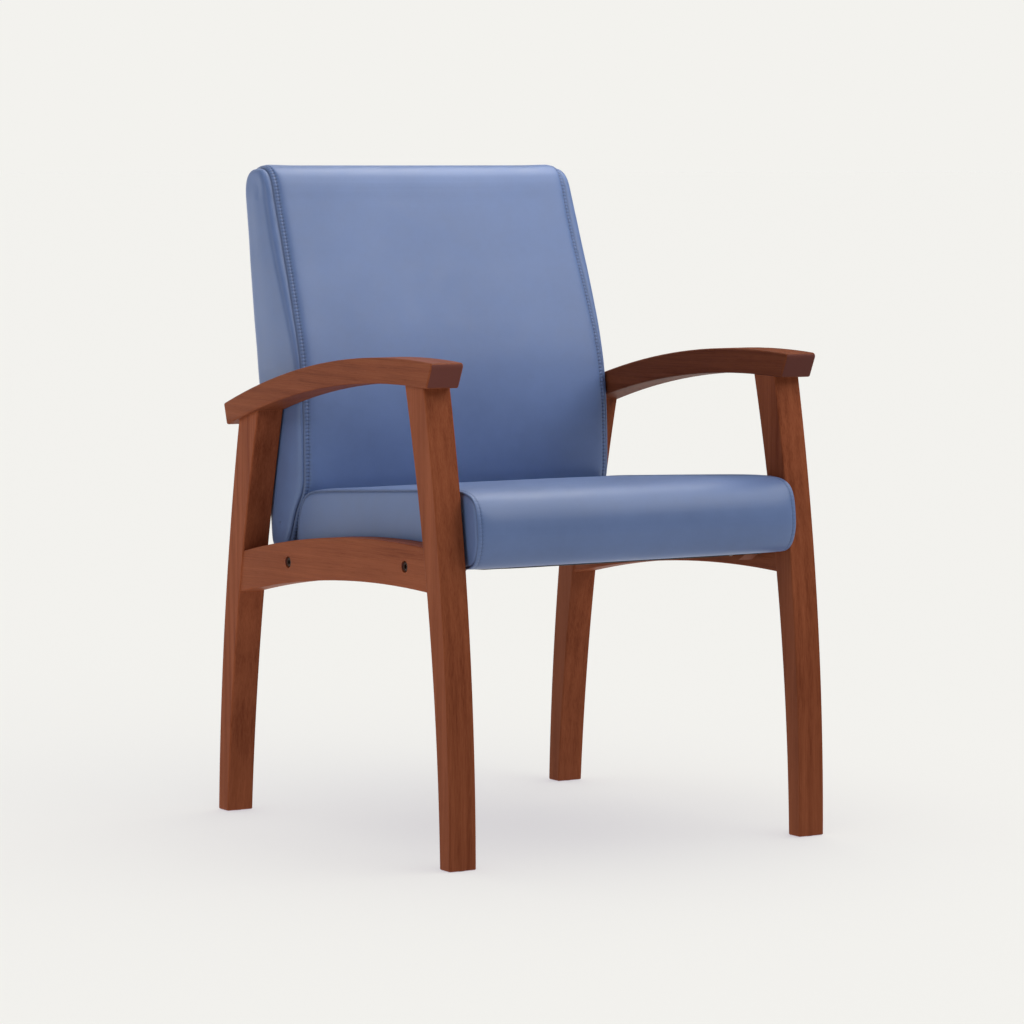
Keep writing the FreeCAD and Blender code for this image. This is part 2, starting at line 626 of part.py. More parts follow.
inner = back_outline(COVER_T + 0.2)
foam_all = extrude(inner, -FOAM_X, FOAM_X)
WEB_GAP = 3.2
fr = [(y - WEB_GAP, z) for y, z in stile_front]
front_cut = poly(fr[:-1] + [(fr[-1][0], 876.0), (400.0, 876.0), (400.0, 360.0), (fr[0][0], 360.0)], -300.0, 300.0)
back_foam = max(foam_all.cut(front_cut).Solids, key=lambda s: s.Volume)
rr = [(y + 0.5, z) for y, z in stile_rear]
rear_keep = poly([(rr[0][0], 875.5)] + rr + [(230.2, 384.0), (230.2, 360.0), (420.0, 360.0), (420.0, 875.5)],
                 -300.0, 300.0)
back_rear_foam = max(foam_all.common(rear_keep).Solids, key=lambda s: s.Volume)

bshell = extrude(back_outline(0.0), -MAIN_X, MAIN_X).cut(extrude(back_outline(COVER_T), -300.0, 300.0))
for s in both(box(STILE_IN - 0.5, MEMBER_IN + 0.5, 178.0, 232.0, 360.0, 391.0)):
    bshell = bshell.cut(s)
back_cover_main = max(bshell.Solids, key=lambda s: s.Volume)
back_cover_side = extrude(back_outline(0.0), MAIN_X, SEAT_HALF)

# ---------------------------------------------------------------------------
# nodes
# ---------------------------------------------------------------------------
nodes["front_leg_right"], nodes["front_leg_left"] = both(front_leg)
nodes["rear_leg_right"], nodes["rear_leg_left"] = both(rear_leg)
nodes["side_rail_right"], nodes["side_rail_left"] = both(rail)
nodes["armrest_right"], nodes["armrest_left"] = both(armrest)
nodes["seat_side_right"], nodes["seat_side_left"] = both(member)
nodes["back_stile_right"], nodes["back_stile_left"] = both(stile)
nodes["seat_front_rail"] = seat_front_rail
nodes["seat_rear_rail"] = seat_rear_rail
nodes["back_top_rail"] = back_top_rail
nodes["back_lumbar_rail"] = back_lumbar_rail
nodes["back_bottom_rail"] = back_bottom_rail
nodes["seat_foam"] = seat_foam
nodes["back_foam"] = back_foam
nodes["back_rear_foam"] = back_rear_foam
nodes["seat_cover_main"] = seat_cover_main
nodes["seat_cover_side_right"], nodes["seat_cover_side_left"] = both(seat_cover_side)
nodes["back_cover_main"] = back_cover_main
nodes["back_cover_side_right"], nodes["back_cover_side_left"] = both(back_cover_side)
nodes["seat_dust_cover"] = dust
nodes["seat_webbing_long"] = group(web_long)
nodes["seat_webbing_cross"] = group(web_cross)
nodes["back_webbing"] = group(back_webs)
nodes["dust_cover_staples"] = group(staples)


def pairs(shapes):
    out = []
    for s in shapes:
        out += both(s)
    return group(out)


nodes["rail_dowels"] = pairs(rail_dowels)
nodes["arm_dowels"] = pairs(arm_dowels)
nodes["seat_frame_dowels"] = pairs(frame_dowels)
nodes["back_frame_dowels"] = pairs(back_dowels)
nodes["seat_corner_blocks"] = group(corner_blocks)
nodes["corner_block_screws"] = group(block_screws)
nodes["frame_bolts_front"] = pairs(bolts_front)
nodes["frame_bolts_rear"] = pairs(bolts_rear)
nodes["bolt_washers"] = pairs(washers)
nodes["spacer_bushes"] = pairs(spacers)
nodes["frame_tee_nuts"] = pairs(tee_front + tee_rear)
nodes["back_bolts"] = pairs(back_bolts)
nodes["back_bolt_washers"] = pairs(back_washers)
nodes["back_tee_nuts"] = pairs(back_tees)
nodes["leg_glides"] = pairs(glides)
nodes["glide_nails"] = pairs(nails)

# one shift along Y puts the origin in the middle of the footprint box
boxes = [shape.optimalBoundingBox(False, False) for shape in nodes.values()]
SHIFT_Y = -0.5 * (min(b.YMin for b in boxes) + max(b.YMax for b in boxes))
print("shift y %.4f" % SHIFT_Y)
for name, shape in nodes.items():
    shape.translate(V(0, SHIFT_Y, 0))
    ok = all(s.isValid() for s in shape.Solids)
    b = shape.optimalBoundingBox(False, False)
    print("%-24s solids %2d valid %s volume %10.1f  x %.1f..%.1f y %.1f..%.1f z %.1f..%.1f" % (
        name, len(shape.Solids), ok, sum(s.Volume for s in shape.Solids),
        b.XMin, b.XMax, b.YMin, b.YMax, b.ZMin, b.ZMax))
    shape.exportStep("parts/%s.step" % name)
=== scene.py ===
"""Looks of a visitor armchair: stained hardwood side frames, vinyl covered seat and back."""

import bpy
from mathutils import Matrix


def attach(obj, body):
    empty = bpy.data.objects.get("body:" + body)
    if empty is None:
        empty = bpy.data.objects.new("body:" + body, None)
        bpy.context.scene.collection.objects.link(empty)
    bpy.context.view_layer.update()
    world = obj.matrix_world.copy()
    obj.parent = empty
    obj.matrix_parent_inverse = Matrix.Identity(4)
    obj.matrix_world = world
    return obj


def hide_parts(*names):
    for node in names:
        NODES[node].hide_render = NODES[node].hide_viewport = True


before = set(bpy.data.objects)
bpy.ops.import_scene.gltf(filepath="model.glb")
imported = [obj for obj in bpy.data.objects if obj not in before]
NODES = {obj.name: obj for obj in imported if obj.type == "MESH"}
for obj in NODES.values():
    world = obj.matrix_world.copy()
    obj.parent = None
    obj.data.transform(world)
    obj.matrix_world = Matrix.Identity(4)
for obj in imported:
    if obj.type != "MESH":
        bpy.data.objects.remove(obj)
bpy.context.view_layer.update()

import math

import bmesh
import bpy
import numpy as np
from mathutils import Vector
from mathutils.kdtree import KDTree

scene = bpy.context.scene
MM = 0.001
SHIFT = 8.1137           # mm, puts the measured outline's y into the row frame

# ---------------------------------------------------------------- camera
CAM_AT = Vector((-3.09873, -5.03727 + SHIFT * MM, 0.92257))
CAM_TO = Vector((0.0, SHIFT * MM, 0.437))
cam_data = bpy.data.cameras.new("camera")
cam = bpy.data.objects.new("camera", cam_data)
scene.collection.objects.link(cam)
cam.location = CAM_AT
cam.rotation_euler = (CAM_TO - CAM_AT).to_track_quat("-Z", "Y").to_euler()
cam_data.sensor_width = 36.0
cam_data.lens = 148.93
cam_data.clip_start, cam_data.clip_end = 0.05, 2000.0
scene.camera = cam

# ---------------------------------------------------------------- node helpers


class Graph:
    """A small helper around one material's nodes."""

    def __init__(self, name):
        self.mat = bpy.data.materials.new(name)
        self.mat.use_nodes = True
        self.tree = self.mat.node_tree
        self.tree.nodes.clear()
        self.out = self.tree.nodes.new("ShaderNodeOutputMaterial")
        self.bsdf = self.tree.nodes.new("ShaderNodeBsdfPrincipled")
        self.link(self.bsdf.outputs[0], self.out.inputs["Surface"])

    def link(self, a, b):
        self.tree.links.new(a, b)

    def new(self, kind, ins=None, **props):
        n = self.tree.nodes.new(kind)
        for k, v in props.items():
            setattr(n, k, v)
        for k, v in (ins or {}).items():
            if isinstance(v, bpy.types.NodeSocket):
                self.link(v, n.inputs[k])
            else:
                n.inputs[k].default_value = v
        return n

    def coords(self, loc=(0, 0, 0), rot=(0, 0, 0), scale=(1, 1, 1)):
        tc = self.new("ShaderNodeTexCoord")
        m = self.new("ShaderNodeMapping", {"Location": loc, "Rotation": rot, "Scale": scale})
        self.link(tc.outputs["Object"], m.inputs["Vector"])
        return m.outputs[0]

    def map(self, vec, loc=(0, 0, 0), rot=(0, 0, 0), scale=(1, 1, 1)):
        m = self.new("ShaderNodeMapping", {"Location": loc, "Rotation": rot, "Scale": scale})
        self.link(vec, m.inputs["Vector"])
        return m.outputs[0]

    def noise(self, vec, scale, detail=3.0, rough=0.5, distort=0.0):
        return self.new("ShaderNodeTexNoise", {"Vector": vec, "Scale": scale, "Detail": detail,
                                               "Roughness": rough, "Distortion": distort}).outputs[0]

    def remap(self, value, a, b, c, d):
        return self.new("ShaderNodeMapRange", {"Value": value, "From Min": a, "From Max": b,
                                               "To Min": c, "To Max": d}).outputs[0]

    def math(self, op, a, b=0.0, clamp=False):
        n = self.new("ShaderNodeMath", operation=op, use_clamp=clamp)
        for i, v in enumerate((a, b)):
            if isinstance(v, bpy.types.NodeSocket):
                self.link(v, n.inputs[i])
            else:
                n.inputs[i].default_value = v
        return n.outputs[0]

    def ramp(self, value, stops):
        n = self.new("ShaderNodeValToRGB", {"Fac": value})
        el = n.color_ramp.elements
        while len(el) < len(stops):
            el.new(0.5)
        for e, (p, c) in zip(el, stops):
            e.position = p
            e.color = (*c, 1.0)
        return n.outputs[0]

    def mix(self, fac, a, b, blend="MIX"):
        n = self.new("ShaderNodeMix", data_type="RGBA", blend_type=blend)
        for sock, v in ((n.inputs[0], fac), (n.inputs[6], a), (n.inputs[7], b)):
            if isinstance(v, bpy.types.NodeSocket):
                self.link(v, sock)
            elif isinstance(v, tuple):
                sock.default_value = (*v, 1.0)
            else:
                sock.default_value = v
        return n.outputs[2]

    def bump(self, height, strength, distance, normal=None):
        n = self.new("ShaderNodeBump", {"Height": height, "Strength": strength, "Distance": distance})
        if normal is not None:
            self.link(normal, n.inputs["Normal"])
        return n.outputs[0]

    def set(self, **kw):
        for k, v in kw.items():
            sock = self.bsdf.inputs[k.replace("_", " ")]
            if isinstance(v, bpy.types.NodeSocket):
                self.link(v, sock)
            else:
                sock.default_value = v


def shades(base, dark, light):
    return [tuple(c * dark for c in base), base, tuple(c * light for c in base)]


# ---------------------------------------------------------------- materials
WOOD = (0.285, 0.0790, 0.0330)
VINYL = (0.1389, 0.2140, 0.428)


def wood(name, grain, seed, base=WOOD, tone_and_light_gain=1.0):
    """Reddish brown stained hardwood under matt lacquer. grain: axis the fibres run along. tone_and_light_gain: the
    piece's brightness, partly its own tone and partly painted light and shade.
    """
    g = Graph(name)
    rot = {"z": (0, 0, 0), "y": (math.radians(90), 0, 0), "x": (0, math.radians(90), 0)}[grain]
    rng = np.random.default_rng(seed)
    off = rng.uniform(-0.5, 0.5, 3)
    tilt = rng.uniform(-0.014, 0.014, 2)
    p = g.map(g.coords(loc=tuple(off), rot=rot), rot=(tilt[0], tilt[1], 0))
    # the fibres wander a little along the piece
    wander = g.new("ShaderNodeTexNoise", {"Vector": g.map(p, scale=(5, 5, 2.2)), "Scale": 1.0, "Detail": 1.5, "Roughness": 0.5})
    shift = g.new("ShaderNodeVectorMath", operation="MULTIPLY_ADD")
    g.link(wander.outputs[1], shift.inputs[0])
    shift.inputs[1].default_value = (0.016, 0.016, 0.0)
    g.link(p, shift.inputs[2])
    q = shift.outputs[0]
    fibre = g.noise(g.map(q, scale=(640, 640, 9)), 1.0, 5.0, 0.62)
    streak = g.noise(g.map(q, scale=(170, 170, 2.0)), 1.0, 3.0, 0.55)
    band = g.noise(g.map(q, scale=(46, 46, 0.9)), 1.0, 2.0, 0.5)
    tone = g.noise(g.map(p, scale=(13, 13, 5.0)), 1.0, 3.0, 0.55)
    figure = g.new("ShaderNodeTexWave", {"Vector": g.map(q, loc=(0.07 + 0.03 * rng.uniform(), 0.02, 0.0), scale=(1, 1, 0.07)),
                                         "Scale": 21.0, "Distortion": 2.2, "Detail": 2.0, "Detail Scale": 1.4,
                                         "Detail Roughness": 0.5},
                   wave_type="RINGS", rings_direction="Z", wave_profile="SIN").outputs[1]
    pores = g.remap(g.noise(g.map(q, scale=(900, 900, 46)), 1.0, 2.0, 0.6), 0.58, 0.70, 0.0, 1.0)
    flecks = g.remap(g.noise(g.map(q, loc=(3.1, 1.7, 0.4), scale=(330, 330, 64)), 1.0, 1.0, 0.5), 0.60, 0.72, 0.0, 1.0)
    f = None
    for part, weight in ((fibre, 0.29), (streak, 0.20), (band, 0.15), (tone, 0.18), (figure, 0.04)):
        n = g.math("MULTIPLY_ADD", part, weight)
        if f is None:
            n.node.inputs[2].default_value = 0.0
        else:
            g.link(f, n.node.inputs[2])
        f = n
    b = tuple(c * tone_and_light_gain for c in base)
    col = g.ramp(f, [(0.33, (b[0] * 0.66, b[1] * 0.58, b[2] * 0.54)),
                     (0.41, (b[0] * 0.90, b[1] * 0.88, b[2] * 0.86)),
                     (0.49, (b[0] * 1.08, b[1] * 1.10, b[2] * 1.10)),
                     (0.59, (b[0] * 1.28, b[1] * 1.38, b[2] * 1.42))])
    col = g.mix(g.math("MULTIPLY", pores, 0.26), col, (b[0] * 0.48, b[1] * 0.40, b[2] * 0.38))
    col = g.mix(g.math("MULTIPLY", flecks, 0.16), col, (b[0] * 1.30, b[1] * 1.42, b[2] * 1.45))
    # end grain is darker, partly because it takes up more stain and partly as painted shade of the downward-facing
    # ends; its grey-blue tint is a painted sheen
    geo = g.new("ShaderNodeNewGeometry")
    along = g.new("ShaderNodeVectorMath", operation="DOT_PRODUCT")
    g.link(geo.outputs["True Normal"], along.inputs[0])
    along.inputs[1].default_value = {"z": (0, 0, 1), "y": (0, 1, 0), "x": (1, 0, 0)}[grain]
    end_grain_stain_and_sheen = g.remap(g.math("ABSOLUTE", along.outputs["Value"]), 0.70, 0.88, 0.0, 1.0)
    col = g.mix(end_grain_stain_and_sheen, col, (b[0] * 0.66, b[1] * 0.78, b[2] * 1.45), "MIX")
    # painted highlight: the stain colour is made lighter along the rounded edges, where highlights catch, more in some
    # places than others
    bev = g.new("ShaderNodeBevel", {"Radius": 0.0026}, samples=6)
    dot = g.new("ShaderNodeVectorMath", operation="DOT_PRODUCT")
    g.link(bev.outputs[0], dot.inputs[0])
    g.link(geo.outputs["True Normal"], dot.inputs[1])
    edge = g.remap(dot.outputs["Value"], 0.995, 0.86, 0.0, 1.0)
    edge_highlight = g.math("MULTIPLY", edge, g.remap(tone, 0.35, 0.65, 0.10, 0.40))
    col = g.mix(edge_highlight, col, (b[0] * 1.45, b[1] * 1.60, b[2] * 1.65))
    rough = g.math("ADD", g.remap(fibre, 0.3, 0.7, 0.42, 0.54), g.math("MULTIPLY", pores, 0.10))
    h = g.math("SUBTRACT", g.math("MULTIPLY", fibre, 0.4), g.math("MULTIPLY", pores, 0.9))
    g.set(Base_Color=col, Roughness=rough, Normal=g.bump(h, 0.16, 0.00022))
    g.set(Specular_IOR_Level=0.05)
    return g.mat


def timber(name, grain, seed, tone=(1.0, 1.0, 1.0)):
    """Plain planed inner frame wood; tone: stain over it."""
    g = Graph(name)
    rot = {"z": (0, 0, 0), "y": (math.radians(90), 0, 0), "x": (0, math.radians(90), 0)}[grain]
    p = g.coords(loc=(seed * 0.37, seed * 0.11, 0), rot=rot)
    rings = g.new("ShaderNodeTexWave", {"Vector": g.map(p, loc=(0.08, 0.03, 0), scale=(1, 1, 0.05)), "Scale": 26.0,
                                        "Distortion": 2.4, "Detail": 3.0, "Detail Scale": 2.0},
                  wave_type="RINGS", rings_direction="Z", wave_profile="SAW").outputs[1]
    fibre = g.noise(g.map(p, scale=(500, 500, 12)), 1.0, 4.0, 0.6)
    f = g.math("ADD", g.math("MULTIPLY", rings, 0.4), g.math("MULTIPLY", fibre, 0.6))
    r, gr, b = tone
    col = g.ramp(f, [(0.25, (0.36 * r, 0.225 * gr, 0.115 * b)), (0.55, (0.53 * r, 0.375 * gr, 0.215 * b)), (0.85, (0.62 * r, 0.47 * gr, 0.29 * b))])
    g.set(Base_Color=col, Roughness=g.remap(fibre, 0.3, 0.7, 0.62, 0.8), Normal=g.bump(fibre, 0.25, 0.0003))
    g.set(Specular_IOR_Level=0.3)
    return g.mat


def vinyl(name, base=VINYL):
    """Smooth upholstery vinyl with a fine pebble grain and a soft satin sheen."""
    g = Graph(name)
    p = g.coords()
    cell = g.new("ShaderNodeTexVoronoi", {"Vector": p, "Scale": 900.0, "Randomness": 1.0}, feature="DISTANCE_TO_EDGE")
    fine = g.noise(p, 2600.0, 2.0, 0.6)
    broad = g.noise(p, 5.0, 3.0, 0.55)
    mid = g.noise(p, 42.0, 3.0, 0.6)
    pebble = g.remap(cell.outputs[0], 0.0, 0.22, 0.0, 1.0)
    lo, md, hi = shades(base, 0.90, 1.09)
    col = g.ramp(g.math("ADD", g.math("MULTIPLY", broad, 0.7), g.math("MULTIPLY", mid, 0.3)),
                 [(0.32, lo), (0.5, md), (0.68, hi)])
    col = g.mix(g.math("MULTIPLY", g.math("SUBTRACT", 1.0, pebble), 0.12), col, tuple(c * 0.72 for c in base))
    # painted shade: the crease_shade attribute darkens the cover along the seams, the needle row and the puckers, where
    # shade falls in the creases
    crease_shade = g.new("ShaderNodeAttribute", attribute_name="crease_shade", attribute_type="GEOMETRY").outputs["Fac"]
    col = g.mix(g.math("MULTIPLY", crease_shade, 0.92, True), col, tuple(c * 0.16 for c in base))
    rough = g.math("ADD", g.remap(mid, 0.3, 0.7, 0.37, 0.45), g.math("MULTIPLY", fine, 0.05))
    h = g.math("ADD", g.math("MULTIPLY", pebble, 0.8), g.math("MULTIPLY", fine, 0.35))
    n = g.bump(mid, 0.05, 0.0012)
    g.set(Base_Color=col, Roughness=rough, Normal=g.bump(h, 0.14, 0.00012, n))
    g.set(Specular_IOR_Level=0.5, Sheen_Weight=0.06, Sheen_Roughness=0.45)
    return g.mat


def thread(name, base):
    g = Graph(name)
    p = g.coords()
    tw = g.new("ShaderNodeTexWave", {"Vector": p, "Scale": 900.0, "Distortion": 1.0}, wave_type="BANDS",
               bands_direction="DIAGONAL").outputs[1]
    col = g.ramp(tw, [(0.2, tuple(c * 0.72 for c in base)), (0.8, tuple(c * 1.12 for c in base))])
    g.set(Base_Color=col, Roughness=g.remap(tw, 0, 1, 0.5, 0.68), Normal=g.bump(tw, 0.3, 0.0001))
    g.set(Specular_IOR_Level=0.35, Sheen_Weight=0.15)
    return g.mat


def cloth(name, base, pitch, rough=0.85):
    """Woven or bonded cloth; pitch: thread spacing in metres."""
    g = Graph(name)
    p = g.coords()
    k = 0.3142 / pitch
    a = g.new("ShaderNodeTexWave", {"Vector": p, "Scale": k, "Distortion": 0.6}, bands_direction="X").outputs[1]
    b = g.new("ShaderNodeTexWave", {"Vector": p, "Scale": k, "Distortion": 0.6}, bands_direction="Y").outputs[1]
    w = g.math("MULTIPLY", a, b)
    fuzz = g.noise(p, 700.0, 3.0, 0.6)
    f = g.math("ADD", g.math("MULTIPLY", w, 0.5), g.math("MULTIPLY", fuzz, 0.5))
    lo, md, hi = shades(base, 0.6, 1.35)
    g.set(Base_Color=g.ramp(f, [(0.2, lo), (0.5, md), (0.8, hi)]), Roughness=g.remap(fuzz, 0.3, 0.7, rough - 0.06, rough + 0.08),
          Normal=g.bump(f, 0.4, 0.0003))
    g.set(Specular_IOR_Level=0.25, Sheen_Weight=0.2)
    return g.mat


def foam(name):
    g = Graph(name)
    p = g.coords()
    v = g.new("ShaderNodeTexVoronoi", {"Vector": p, "Scale": 700.0}).outputs[0]
    g.set(Base_Color=g.ramp(v, [(0.1, (0.5, 0.45, 0.3)), (0.7, (0.82, 0.77, 0.6))]), Roughness=g.remap(v, 0, 1, 0.8, 0.95),
          Normal=g.bump(v, 0.4, 0.0006))
    return g.mat


def metal(name, base, rough, metallic, scratch=0.4, shine=0.5):
    g = Graph(name)
    p = g.coords()
    brushed = g.noise(g.map(p, scale=(300, 2600, 2600)), 1.0, 3.0, 0.6)
    blot = g.noise(p, 260.0, 3.0, 0.6)
    lo, md, hi = shades(base, 0.7, 1.2)
    g.set(Base_Color=g.ramp(g.math("ADD", g.math("MULTIPLY", brushed, 0.5), g.math("MULTIPLY", blot, 0.5)),
                            [(0.3, lo), (0.5, md), (0.7, hi)]),
          Roughness=g.remap(blot, 0.3, 0.7, rough - 0.08, rough + 0.12), Normal=g.bump(brushed, 0.12 * scratch / 0.4, 0.0001))
    g.set(Metallic=metallic, Specular_IOR_Level=shine)
    return g.mat


def plastic(name, base):
    g = Graph(name)
    p = g.coords()
    tex = g.noise(p, 1500.0, 2.0, 0.5)
    wear = g.noise(p, 120.0, 3.0, 0.6)
    lo, md, hi = shades(base, 0.8, 1.25)
    g.set(Base_Color=g.ramp(wear, [(0.3, lo), (0.5, md), (0.7, hi)]), Roughness=g.remap(wear, 0.3, 0.7, 0.45, 0.62),
          Normal=g.bump(tex, 0.15, 0.0001))
    g.set(Specular_IOR_Level=0.12)
    return g.mat


def give(mat, *names):
    for n in names:
        me = NODES[n].data
        me.materials.clear()
        me.materials.append(mat)


# painted light and shade: the per-piece gains are partly tone that differs between pieces and partly light painted in;
# the left rear leg is made lighter, the right armrest and the seat side members darker, as light falls on them
WOODS = {
    "front_leg_left": ("z", 11, 1.12), "front_leg_right": ("z", 23, 1.06),
    "rear_leg_left": ("z", 37, 1.22), "rear_leg_right": ("z", 41, 0.98),
    "side_rail_left": ("y", 53, 1.16), "side_rail_right": ("y", 59, 1.00),
    "armrest_left": ("y", 67, 0.99), "armrest_right": ("y", 71, 0.73),
    "seat_side_left": ("y", 83, 0.80), "seat_side_right": ("y", 89, 0.80),
}
for node, (axis, seed, tone_and_light_gain) in WOODS.items():
    give(wood("stained_" + node, axis, seed, WOOD, tone_and_light_gain), node)

give(timber("timber_y", "y", 3), "seat_corner_blocks")
give(timber("timber_x", "x", 5), "seat_front_rail", "seat_rear_rail", "back_top_rail", "back_lumbar_rail", "back_bottom_rail",
     "rail_dowels", "seat_frame_dowels", "back_frame_dowels")
give(timber("timber_z", "z", 7), "arm_dowels")
give(timber("timber_stained", "z", 9, (0.46, 0.26, 0.20)), "back_stile_left", "back_stile_right")
give(foam("foam"), "seat_foam", "back_foam", "back_rear_foam")
give(cloth("elastic_webbing", (0.05, 0.05, 0.055), 0.0016), "seat_webbing_long", "seat_webbing_cross", "back_webbing")
give(metal("black_oxide_steel", (0.040, 0.017, 0.010), 0.50, 0.0, 0.4, 0.16), "frame_bolts_front", "frame_bolts_rear", "bolt_washers")
give(metal("zinc_steel", (0.56, 0.56, 0.58), 0.34, 1.0), "frame_tee_nuts", "back_bolts", "back_bolt_washers", "back_tee_nuts",
     "corner_block_screws", "dust_cover_staples", "glide_nails")
give(plastic("brown_nylon", (0.048, 0.018, 0.009)), "leg_glides", "spacer_bushes")

VINYL_MAT = vinyl("blue_vinyl")
THREAD_MAT = thread("blue_thread", (0.060, 0.095, 0.21))
# painted shade: the needle-hole discs are dark to stand in for the shade inside the holes
HOLE_SHADE_MAT = thread("needle_hole_shade", (0.020, 0.030, 0.075))

# ---------------------------------------------------------------- curves and lofts


def catmull(points, per=24):
    """Centripetal curve through the points."""
    p = np.array(points, float)
    n = len(p)
    out = []
    for i in range(n - 1):
        b, c = p[i], p[i + 1]
        a = p[i - 1] if i > 0 else 2 * b - c
        d = p[i + 2] if i + 2 < n else 2 * c - b
        ta = np.linalg.norm(b - a) ** 0.5
        tb = ta + np.linalg.norm(c - b) ** 0.5
        tc = tb + np.linalg.norm(d - c) ** 0.5
        for k in range(per):
            t = ta + (tb - ta) * k / per
            a1 = a * (ta - t) / ta + b * t / ta
            a2 = b * (tb - t) / (tb - ta) + c * (t - ta) / (tb - ta)
            a3 = c * (tc - t) / (tc - tb) + d * (t - tb) / (tc - tb)
            b1 = a1 * (tb - t) / tb + a2 * t / tb
            b2 = a2 * (tc - t) / (tc - ta) + a3 * (t - ta) / (tc - ta)
            out.append(b1 * (tb - t) / (tb - ta) + b2 * (t - ta) / (tb - ta))
    out.append(p[-1])
    return np.array(out)


def resample(poly, count):
    """count points at even arc length along an open polyline, both ends kept."""
    d = np.r_[0, np.cumsum(np.linalg.norm(np.diff(poly, axis=0), axis=1))]
    t = np.linspace(0, d[-1], count)
    return np.stack([np.interp(t, d, poly[:, k]) for k in range(poly.shape[1])], 1)


def smooth_closed(v, times):
    for _ in range(times):
        v = 0.25 * np.roll(v, 1, 0) + 0.5 * v + 0.25 * np.roll(v, -1, 0)
    return v


def ease(x, a, b):
    t = np.clip((x - a) / (b - a), 0.0, 1.0)
    return t * t * (3 - 2 * t)


def new_object(name, verts, faces, mat, smooth=True):
    me = bpy.data.meshes.new(name)
    me.from_pydata([tuple(v) for v in verts], [], [tuple(f) for f in faces])
    me.update()
    if smooth:
        me.polygons.foreach_set("use_smooth", [True] * len(me.polygons))
    me.materials.append(mat)
    ob = bpy.data.objects.new(name, me)
    scene.collection.objects.link(ob)
    return ob


PITCH = 5.2
CENTRE = [0.10, 0.21, 0.32, 0.44, 0.56, 0.68, 0.80, 0.92]
TO_SPINE = [0.14, 0.30, 0.48, 0.66, 0.84]


